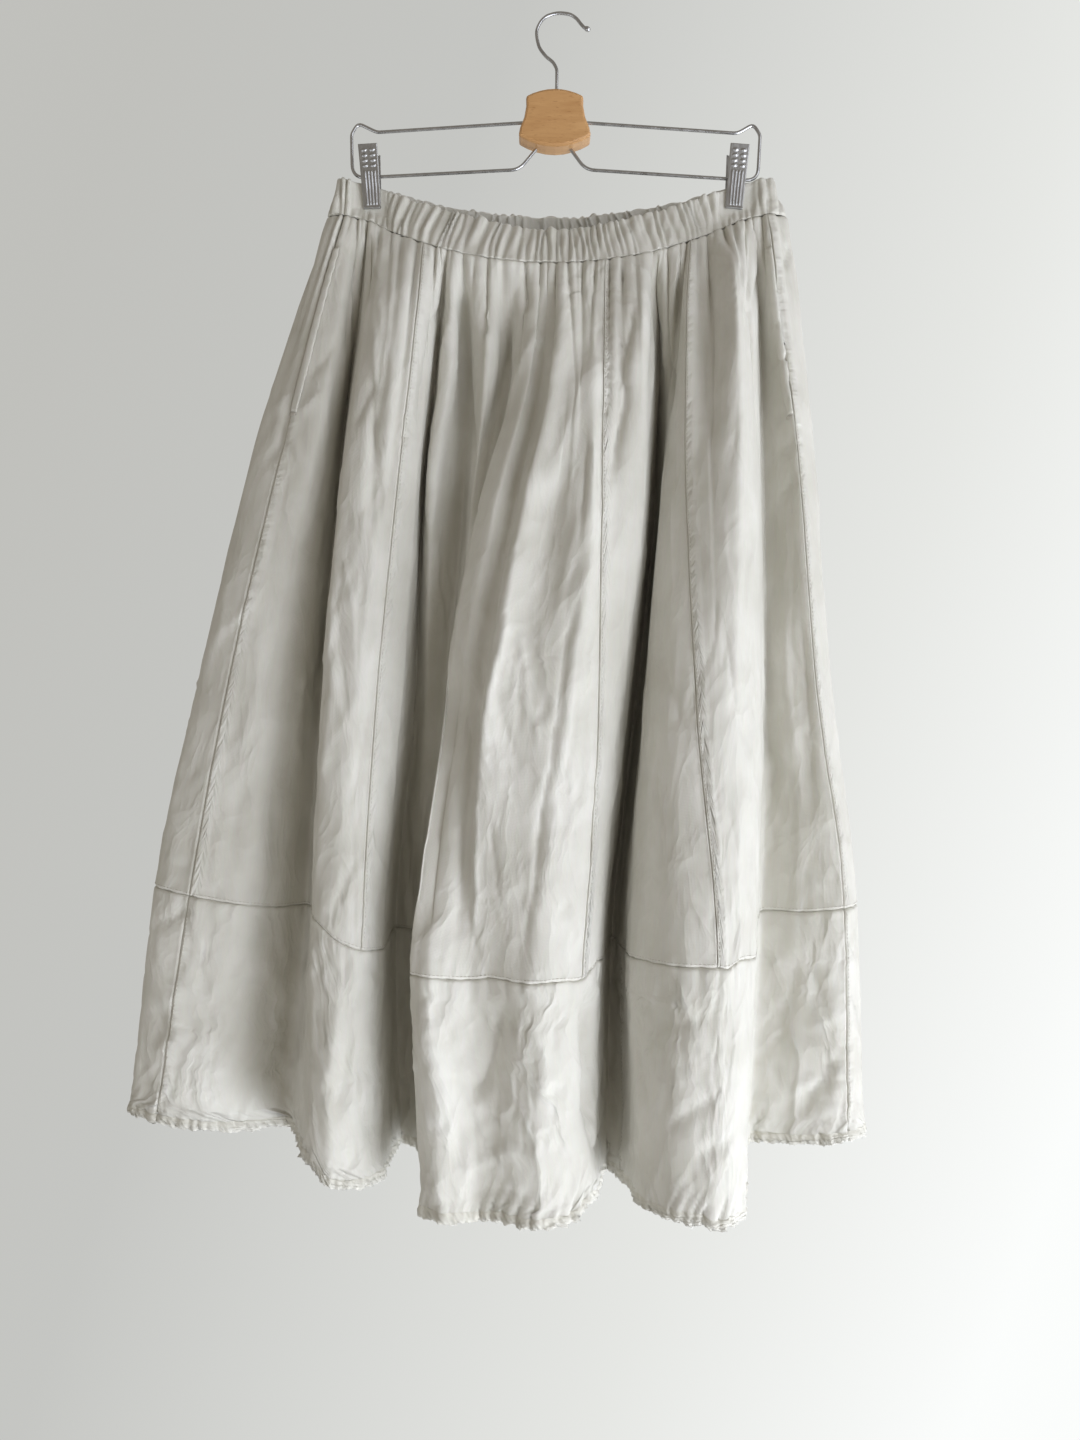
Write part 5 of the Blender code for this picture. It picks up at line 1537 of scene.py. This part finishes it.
def off_seam(line, lengths, distance, lift):
    """Points at a distance beside a seam, in millimetres, and their outward directions."""
    side = 1 if distance >= 0 else -1
    cols = (column[line] + side * np.arange(0, 10)) % COLUMNS
    grid, ways = on_rows(cloth[:, cols], lengths), on_rows(cloth_out[:, cols], lengths)
    points, outs = [], []
    for r in range(len(lengths)):
        run = arc(grid[r])
        points.append([np.interp(abs(distance), run, grid[r, :, k]) for k in range(3)])
        outs.append([np.interp(abs(distance), run, ways[r, :, k]) for k in range(3)])
    points, outs = np.array(points), np.array(outs)
    outs /= np.linalg.norm(outs, axis=-1, keepdims=True)
    return points + outs * lift, outs


print("first stitch beside seam b, mm:", off_seam("seam_b", np.array([6.0]), 2.2, 0.0)[0][0].round(1))

# %% [markdown]
# ## Pocket edges
# A pocket opens in each side seam, from a hand below the waist down. What shows of it is the folded
# front edge, which hangs open by its own roll, and a gap in the stitches. The bag inside isn't seen
# and isn't made. The edge is a narrow shell on the cloth, highest near the seam and flat at both
# ends, as a fold is where it is sewn down.

# %% Pocket edges
POCKET_TOP, POCKET_BOTTOM = 30.0, 170.0
EDGE_POINTS = 60
EDGE_ACROSS = np.array([0.4, 1.0, 2.0, 3.5, 5.0, 6.4, 7.0])
EDGE_LIFT = np.array([0.5, 1.25, 1.55, 1.35, 1.2, 1.1, 0.5])


def pocket_edge(node, line, side):
    """The folded edge beside a side seam, rolled a little along the opening."""
    lengths = np.linspace(POCKET_TOP, POCKET_BOTTOM, EDGE_POINTS)
    distances = EDGE_ACROSS * side
    ends = np.sin(np.pi * np.linspace(0, 1, EDGE_POINTS)) ** 0.3
    raised = []
    for d, lift in zip(distances, EDGE_LIFT):
        on_cloth_here, ways = off_seam(line, lengths, d, 0.3)[0], off_seam(line, lengths, d, 0)[1]
        raised.append(on_cloth_here + ways * (lift * (0.35 + 0.65 * ends))[:, None])
    outer = np.stack(raised, 1)
    inner = np.stack([off_seam(line, lengths, d, 0.25)[0] for d in distances], 1)
    if side < 0:
        outer, inner = outer[:, ::-1], inner[:, ::-1]
    obj, _, length = shell(node + "_cloth", outer, inner, node, COTTON, np.full(outer.shape[:2], 0.08))


pocket_edge("pocket_edge_right", "side_seam_right", -1)
pocket_edge("pocket_edge_left", "side_seam_left", 1)
print("pocket length, mm:", POCKET_BOTTOM - POCKET_TOP)

# %% [markdown]
# ## Stitches
# A sewn seam shows as a row of short threads, each of which dips into the cloth at both ends. They
# could be a dashed texture. As small rounded bars of six sides they catch light and throw shadows,
# and a thousand of them still cost less than one gore.

# %% Stitches
SIDES = 6
STITCH_STATIONS = ((0, 0.45), (0.3, 1), (0.7, 1), (1, 0.45))     # share along, share of thickness


def stitches(name, runs, pitch=3.1, long=2.1, thick=0.24):
    """Short rounded stitches, each lying along the cloth; runs are (points, outward directions)."""
    points, faces = [], []
    ring = [(math.cos(a), math.sin(a)) for a in np.arange(SIDES) * 2 * math.pi / SIDES]
    for line, outs in runs:
        run = arc(line)
        for start in np.arange(0, run[-1] - long, pitch):
            ends = [np.array([np.interp(start + d * long, run, line[:, k]) for k in range(3)])
                    for d, _ in STITCH_STATIONS]
            out_way = outs[min(int(np.searchsorted(run, start)), len(outs) - 1)]
            way = ends[3] - ends[0]
            across = np.cross(way, out_way)
            across /= max(np.linalg.norm(across), 1e-9)
            base = len(points)
            for place, (_, size) in zip(ends, STITCH_STATIONS):
                for a, b in ring:
                    off = across * a * 1.1 + out_way * (b * 0.8 + size * 0.7)
                    points.append(place + thick * size * off)
            for k in range(len(STITCH_STATIONS) - 1):
                low, high = base + SIDES * k, base + SIDES * (k + 1)
                for m in range(SIDES):
                    n = (m + 1) % SIDES
                    faces.append((low + m, low + n, high + n, high + m))
            faces.append(tuple(base + m for m in range(SIDES - 1, -1, -1)))
            faces.append(tuple(high + m for m in range(SIDES)))
    mesh = bpy.data.meshes.new(name)
    mesh.from_pydata((np.array(points) * MM).tolist(), [], faces)
    mesh.shade_smooth()
    mesh.materials.append(THREAD)
    obj = put(name, mesh)
    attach(obj, "root")
    return len(faces)


print("corners of a stitch:", SIDES * len(STITCH_STATIONS))

# %% [markdown]
# ## Where the thread runs
# Topstitching holds each allowance down, two millimetres beside its seam, and a row of it follows the
# band seam all round. At the foot of each pocket is a bartack, a bar of close threads that keeps the
# opening from tearing on. Where a side seam is open for the pocket, the row stops.

# %% Where the thread runs
STITCH_STEP = 3.0
BESIDE_SEAM = 2.2
ABOVE_BAND_SEAM = 2.4


def seam_stitches():
    """Topstitching on the allowance's side of each seam, and along the band seam."""
    gore_run = np.arange(6, GORE_LENGTH - 4, STITCH_STEP)
    band_run = np.arange(GORE_LENGTH + 4, SKIRT_LENGTH - 5, STITCH_STEP)
    front, back = [], []
    for line in SEAM_LINES:
        bucket = back if line.startswith("seam_back") else front
        run = gore_run
        if line.startswith("side_seam"):
            run = gore_run[gore_run > POCKET_BOTTOM + 8]
        bucket.append(off_seam(line, run, BESIDE_SEAM, 0.0))
    for line in BAND_SEAM_LINES:
        bucket = back if line.startswith("seam_back") else front
        bucket.append(off_seam(line, band_run, BESIDE_SEAM, 0.0))
    count = stitches("seam_stitches_front", front) + stitches("seam_stitches_back", back)
    level = on_rows(cloth, np.array([GORE_LENGTH - ABOVE_BAND_SEAM]))[0]
    ways = on_rows(cloth_out, np.array([GORE_LENGTH - ABOVE_BAND_SEAM]))[0]
    level, ways = np.concatenate([level, level[:1]]), np.concatenate([ways, ways[:1]])
    ways = ways / np.linalg.norm(ways, axis=-1, keepdims=True)
    return count + stitches("band_seam_stitches", [(level, ways)])


def bartack(name, line, side):
    """A bar of close thread across the lower end of a pocket."""
    runs = []
    for k in range(7):
        length = np.array([POCKET_BOTTOM + 1.0 + 0.35 * k] * 2)
        ends = [off_seam(line, length[:1], d * side, 1.0) for d in (0.5, 7.5)]
        runs.append((np.array([e[0][0] for e in ends]), np.array([e[1][0] for e in ends])))
    stitches(name, runs, pitch=50, long=6.9, thick=0.26)


print("faces of stitches:", seam_stitches())
bartack("bartack_right", "side_seam_right", -1)
bartack("bartack_left", "side_seam_left", 1)

# %% [markdown]
# ## Bent wire
# The hanger is two loops of round steel wire that start in the wooden hub, and a hook that turns in
# it. Bent wire has round corners, because it is bent over a pin. A Bezier curve would need a pair of
# handles at each bend; a list of corners, each with its radius, is how a workshop would write it
# down. Blender's bevel then gives the line its thickness.

# %% Bent wire
HOOK_PATH = ((-2.8, -64.1), (-2.6, -46.0), (-5.0, -40.0), (-12.0, -33.5), (-17.5, -25.0),
             (-19.2, -15.0), (-16.0, -6.2), (-9.5, -0.6), (0.0, 1.4), (7.5, 0.5), (13.2, -2.8),
             (17.6, -8.0), (20.6, -11.0), (24.4, -12.8))
FRAME_LEFT = ((-30.6, -88.6, 0), (-150.0, -96.4, 12), (-165.5, -88.9, 7), (-170.8, -98.0, 9),
              (-170.2, -134.0, 11), (-33.5, -126.9, 16), (-19.7, -110.5, 0))
FRAME_RIGHT = ((21.8, -88.6, 0), (145.5, -97.2, 12), (158.5, -89.6, 7), (164.0, -98.5, 9),
               (162.0, -136.1, 10), (21.0, -126.9, 16), (9.2, -110.9, 0))


def rounded(corners, steps=8):
    """Points along straight runs whose corners (x, z, radius) are turned into arcs."""
    points = [np.array(corners[0][:2], float)]
    for before, corner, after in zip(corners, corners[1:], corners[2:]):
        here = np.array(corner[:2], float)
        back, on = np.array(before[:2]) - here, np.array(after[:2]) - here
        most = 0.45 * min(np.linalg.norm(back), np.linalg.norm(on))
        back, on = back / np.linalg.norm(back), on / np.linalg.norm(on)
        half = math.acos(np.clip(np.dot(back, on), -1, 1)) / 2
        cut = min(corner[2] / math.tan(half), most)
        for t in np.linspace(0, 1, steps):
            a, b = here + back * cut, here + on * cut
            points.append(a * (1 - t) ** 2 + here * 2 * t * (1 - t) + b * t**2)
    return points + [np.array(corners[-1][:2], float)]


def wire(name, points, node, thick=WIRE, roundness=5, swells=()):
    """A round wire along (x, y, z) points; swells are the radii of its last ones, as shares."""
    curve = bpy.data.curves.new(name, "CURVE")
    curve.dimensions = "3D"
    curve.bevel_depth = thick / 2 * MM
    curve.bevel_resolution = roundness
    curve.use_fill_caps = True
    spline = curve.splines.new("POLY")
    spline.points.add(len(points) - 1)
    for place, point in zip(spline.points, points):
        place.co = (*(v * MM for v in point), 1)
    for place, swell in zip(list(spline.points)[len(points) - len(swells):], swells):
        place.radius = swell
    curve.materials.append(WIRE_STEEL)
    obj = put(name, curve)
    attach(obj, "root")
    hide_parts(node)
    return len(points)


def in_plane(points):
    """Points (x, z) as points in the hanger's plane."""
    return [(x, 0, z) for x, z in points]


print("points along a frame with round corners:", len(rounded(FRAME_LEFT)))

# %% [markdown]
# ## The hook and the frames
# The hook is the same wire, drawn up out of the hub and bent round into three quarters of a circle,
# so that it can't slip off a rod. Its free end is swollen to a small round bead. A sphere could be
# set on the end; giving the wire's last points a larger radius makes the neck between wire and bead
# flow.

# %% The hook and the frames
HOOK_POINTS, BEAD_POINTS = 70, 14
BEAD_LENGTH = 5.4
BEAD_MIDDLE, BEAD_HALF, BEAD_SWELL = 3.0, 2.75, 1.5


def hook():
    """The hook, from inside the hub to its bead."""
    path = np.array(HOOK_PATH, float)
    run = arc(path)
    places = np.linspace(0, run[-1] - BEAD_LENGTH, HOOK_POINTS)
    points = np.stack([smooth(run, path[:, k], places) for k in range(2)], -1)
    way = (path[-1] - path[-2]) / np.linalg.norm(path[-1] - path[-2])
    offs = np.linspace(0.3, 5.6, BEAD_POINTS)
    swells = np.sqrt(np.clip(1 - ((offs - BEAD_MIDDLE) / BEAD_HALF) ** 2, 0.02, 1)) * BEAD_SWELL
    swells[offs < 1.6] = np.maximum(swells[offs < 1.6], 1.0)
    bead = [points[-1] + way * off for off in offs]
    return wire("hook_wire_round", in_plane([*points, *bead]), "hook_wire", swells=tuple(swells))


print("points along the hook:", hook())
wire("frame_left_round", in_plane(rounded(FRAME_LEFT)), "frame_wire_left")
wire("frame_right_round", in_plane(rounded(FRAME_RIGHT)), "frame_wire_right")

# %% [markdown]
# ## Ribs and bumps of a clip
# A clip is pressed from thin sheet, and the press stiffens it with four upright ribs on the jaw and
# gives grip with rows of bumps on the lever. They could be cut with booleans, which leave ragged
# edges in thin sheet. A height for each point of a fine grid does it with no edge at all.

# %% Ribs and bumps of a clip
RIBS, RIB_TALL, RIB_HALF = 4, 0.75, 0.95
RIB_ENDS = (-158.2, -131.0)
RIB_MARGIN = 2.2             # from the plate's side to the first rib's pitch
PRESS_ROUND = 1.2            # over which a rib's end rises
BUMP_TALL, BUMP_ROWS, BUMP_PITCH = 0.85, 4, 3.9
BUMP_LOWEST, BUMP_OUT = -127.3, 3.3
BUMP_HALF_WIDE, BUMP_HALF_TALL = 2.3, 1.15
LIP_TOP, LIP_ROUND, LIP_TALL = -158.8, 1.5, 0.5


def relief(across, z, half_width):
    """Height of the pressed ribs and bumps on a clip plate."""
    pitch = 2 * (half_width - RIB_MARGIN) / RIBS
    tall = np.zeros(np.broadcast(across, z).shape)
    rise = np.clip((z - RIB_ENDS[0]) / PRESS_ROUND, 0, 1)
    ends = rise * np.clip((RIB_ENDS[1] - z) / PRESS_ROUND, 0, 1)
    for k in range(RIBS):
        middle = -half_width + RIB_MARGIN + pitch * (k + 0.5)
        rib = np.sqrt(np.clip(1 - ((across - middle) / RIB_HALF) ** 2, 0, 1))
        tall = np.maximum(tall, RIB_TALL * rib * np.sqrt(ends))
    for row in range(BUMP_ROWS):
        up = (z - BUMP_LOWEST - BUMP_PITCH * row) / BUMP_HALF_TALL
        for side in (-1, 1):
            away = ((across - side * BUMP_OUT) / BUMP_HALF_WIDE) ** 2 + up**2
            tall = np.maximum(tall, BUMP_TALL * np.sqrt(np.clip(1 - away, 0, 1)))
    lip = np.clip((LIP_TOP - z) / LIP_ROUND, 0, 1)
    return tall + LIP_TALL * lip


tallest = relief(np.linspace(-7, 7, 99)[None], np.linspace(-160, -112, 99)[:, None], 7.4).max()
print("tallest rib or bump, mm:", round(float(tallest), 2))

# %% [markdown]
# ## Clip plates
# Each clip is two plates, jaw below and lever above, that rock on the frame's lower wire. Their side
# view is a short table of heights, and the plate is drawn out along it, with its edges turned back. A
# solidified plane would have sharp square edges, which thin pressed sheet never has.

# %% Clip plates
SPRING_Z = {CLIP_LEFT: -133.2, CLIP_RIGHT: -135.0}
CLIP_LEAN = {CLIP_LEFT: math.radians(-3.4), CLIP_RIGHT: math.radians(4.6)}
Station = namedtuple("Station", "z out sheet half_width")
CLIP_SIDE = (
    Station(-160.3, 4.8, 2.0, 7.0),
    Station(-146.5, 5.2, 2.0, 7.3),
    Station(-138.5, 6.6, 1.4, 7.4),
    Station(-126.0, 8.3, 1.4, 7.6),
    Station(-111.0, 11.3, 1.4, 7.8),
)
PLATE_ROWS, PLATE_FACE = 118, 44
TURNED_AT, TURNED_BY = (0.96, 0.99, 1, 1), (0.06, 0.22, 0.55, 1.0)   # the edge's points, turned back
TURN_DEPTH = 1.9


def clip_plate(name, node, x, side):
    """One plate of the clip at x: side is -1 in front of the cloth and 1 behind it."""
    z = np.linspace(CLIP_SIDE[0].z, CLIP_SIDE[-1].z, PLATE_ROWS)[::-1, None]
    heights = [s.z for s in CLIP_SIDE]
    out_y = smooth(heights, [s.out for s in CLIP_SIDE], z[:, 0])[:, None]
    back_y = smooth(heights, [s.out - s.sheet for s in CLIP_SIDE], z[:, 0])[:, None]
    half = smooth(heights, [s.half_width for s in CLIP_SIDE], z[:, 0])[:, None]
    face = np.linspace(-0.92, 0.92, PLATE_FACE)
    u = np.concatenate([-np.array(TURNED_AT)[::-1], face, TURNED_AT])[None]
    sink = np.concatenate([TURNED_BY[::-1], 0 * face, TURNED_BY])[None]
    depth = np.minimum(TURN_DEPTH, out_y - 2.9)
    across = u * half
    outer_y = out_y + relief(across, z, half) * (sink == 0) - sink * depth
    inner_y = np.minimum(back_y, outer_y - 0.45)
    inner_across = np.clip(across, -half + 0.9, half - 0.9)
    lean = CLIP_LEAN[x]
    sheets = []
    for a, y in ((across, outer_y), (inner_across, inner_y)):
        turned_x = x + a * math.cos(lean) + (z - SPRING_Z[x]) * math.sin(lean)
        turned_z = z - a * math.sin(lean)
        sheet = np.stack([turned_x, side * y, turned_z + 0 * y], -1)
        sheets.append(sheet if side < 0 else sheet[:, ::-1])
    shell(name, sheets[0], sheets[1], node, CLIP_STEEL)


print("a clip is open at its top by, mm:", 2 * CLIP_SIDE[-1].out)

# %% [markdown]
# ## Clip springs
# Between the plates a coil of thinner wire sits round the frame, and its two straight ends push the
# levers apart. The Screw modifier makes coils too, but not their ends. A short loop that goes round
# and sideways at once makes the whole line.

# %% Clip springs
SPRING_WIRE, SPRING_TURNS, SPRING_RADIUS, SPRING_HALF = 1.1, 6, 3.3, 4.4
TURN_POINTS_ROUND = 16
SPRING_ENDS = ((4.4, 8.5), (3.9, 3.0))   # depth, and height above the coil's middle


def clip_spring(name, node, x):
    """A coil of wire round the frame, whose two ends press the plates apart."""
    first, last, level = x - SPRING_HALF, x + SPRING_HALF, SPRING_Z[x]
    points = [(first, y, level + up) for y, up in SPRING_ENDS]
    steps = SPRING_TURNS * TURN_POINTS_ROUND
    for k in range(steps + 1):
        angle = 2 * math.pi * k / TURN_POINTS_ROUND
        points.append((first + 2 * SPRING_HALF * k / steps, SPRING_RADIUS * math.cos(angle),
                       level + SPRING_RADIUS * math.sin(angle)))
    points += [(last, y, level + up) for y, up in SPRING_ENDS[::-1]]
    return wire(name, points, node, SPRING_WIRE, 3)


for side, x in (("left", CLIP_LEFT), ("right", CLIP_RIGHT)):
    clip_plate(f"clip_{side}_front_pressed", f"clip_{side}_front", x, -1)
    clip_plate(f"clip_{side}_rear_pressed", f"clip_{side}_rear", x, 1)
    count = clip_spring(f"clip_{side}_coil", f"clip_{side}_spring", x)
    print("clip", side, "has two plates and a spring of", count, "points")

# %% [markdown]
# ## Light
# The cloth is lit like a hanging by a window: one large soft light from the right, a weaker one above
# it, and only a little from in front and from the left. Frontal light would flatten every fold. The
# window light is bluish and the light that fills the shadows is warm, as light is that has come off
# pale paint.

# %% Light


def area_light(name, place, aim, size, power, colour):
    """A soft rectangular lamp that isn't itself seen."""
    data = bpy.data.lights.new(name, "AREA")
    data.shape = "RECTANGLE"
    data.size, data.size_y = size
    data.energy = power
    data.color = colour
    light = put(name, data)
    light.location = place
    way = np.array(aim, float) - np.array(place, float)
    flat = math.hypot(way[0], way[1])
    light.rotation_euler = (math.atan2(flat, -way[2]), 0, math.atan2(-way[0], way[1]))
    light.visible_camera = False


def fill_light():
    """Even warm light from all round, which keeps the shadows open."""
    world = bpy.data.worlds.new("fill_light")
    bpy.context.scene.world = world
    world.use_nodes = True
    shade = world.node_tree.nodes["Background"]
    shade.inputs["Color"].default_value = (1.0, 0.915, 0.79, 1)
    shade.inputs["Strength"].default_value = 0.31


area_light("window", (1.58, -0.95, -2.1), (0.0, 0.0, -0.6), (1.5, 1.5), 55, (0.948, 1.0, 1.11))
area_light("window_top", (1.75, -1.6, 0.35), (0.0, 0.0, -0.4), (1.2, 1.2), 12, (0.948, 1.0, 1.11))
area_light("front", (1.35, -1.95, -1.0), (0.0, 0.0, -0.6), (1.3, 1.3), 12, (0.955, 1.0, 1.10))
area_light("fill", (-1.4, -1.2, -2.1), (0.0, 0.0, -0.6), (1.3, 1.3), 8, (0.96, 1.0, 1.08))
fill_light()
view = bpy.context.scene.view_settings
view.view_transform = "Standard"
view.look = "None"
print("lights:", len(bpy.data.lights))

# %% [markdown]
# ## Backdrop and floor
# A pale plane far behind and one far below make a plain studio. The backdrop grows lighter to the
# right, on the side of the window. Lighting such a slope with lamps would change the cloth as well;
# so the window's light is painted on the plane, which glows by itself with those tones, and is too
# far off to light anything.

# %% Backdrop and floor


def stage_plane(name, corners, finish):
    """One large face that isn't part of the object."""
    mesh = bpy.data.meshes.new(name)
    mesh.from_pydata(corners, [], [(0, 1, 2, 3)])
    mesh.materials.append(finish)
    put(name, mesh)


def backdrop():
    """Pale, with painted light: it glows by itself, lighter to the right."""
    nodes = Nodes("backdrop_finish")
    parts = nodes.add("ShaderNodeSeparateXYZ", {"Vector": nodes.place()})
    slope = nodes.add("ShaderNodeMath", {0: parts.outputs["Z"], 1: -0.35}, operation="MULTIPLY")
    slanted = nodes.add("ShaderNodeMath", {0: parts.outputs["X"], 1: slope.outputs[0]}, operation="ADD")
    share = nodes.add("ShaderNodeMapRange", {"Value": slanted.outputs[0], "From Min": -2.2,
                                             "From Max": 2.7})
    # painted light: the glow grows brighter to the right, towards the window
    colour = ramp(nodes, share.outputs["Result"], (
        (0.0, (0.53, 0.53, 0.505)), (0.28, (0.56, 0.565, 0.545)),
        (0.72, (0.79, 0.80, 0.775)), (1.0, (0.97, 0.985, 0.975))))
    nodes.into("Emission Color", colour)
    nodes.set({"Emission Strength": 1.0, "Base Color": (0, 0, 0, 1), "Specular IOR Level": 0.0})
    wide, tall, away = 9.0, 9.0, 3.4
    corners = [(-wide, away, -tall), (wide, away, -tall), (wide, away, tall), (-wide, away, tall)]
    stage_plane("backdrop", corners, nodes.material)


def floor():
    """A pale floor, well below the hem."""
    nodes = Nodes("floor_finish")
    cloudy = nodes.noise(nodes.place(), 1.5, 3.0)
    colour = ramp(nodes, cloudy, ((0.3, (0.72, 0.72, 0.70)), (0.7, (0.76, 0.76, 0.74))))
    nodes.into("Base Color", colour)
    nodes.set({"Roughness": 0.8})
    wide, low = 9.0, -3.45
    corners = [(-wide, -wide, low), (wide, -wide, low), (wide, wide, low), (-wide, wide, low)]
    stage_plane("floor", corners, nodes.material)


backdrop()
floor()
print("finishes:", len(bpy.data.materials))
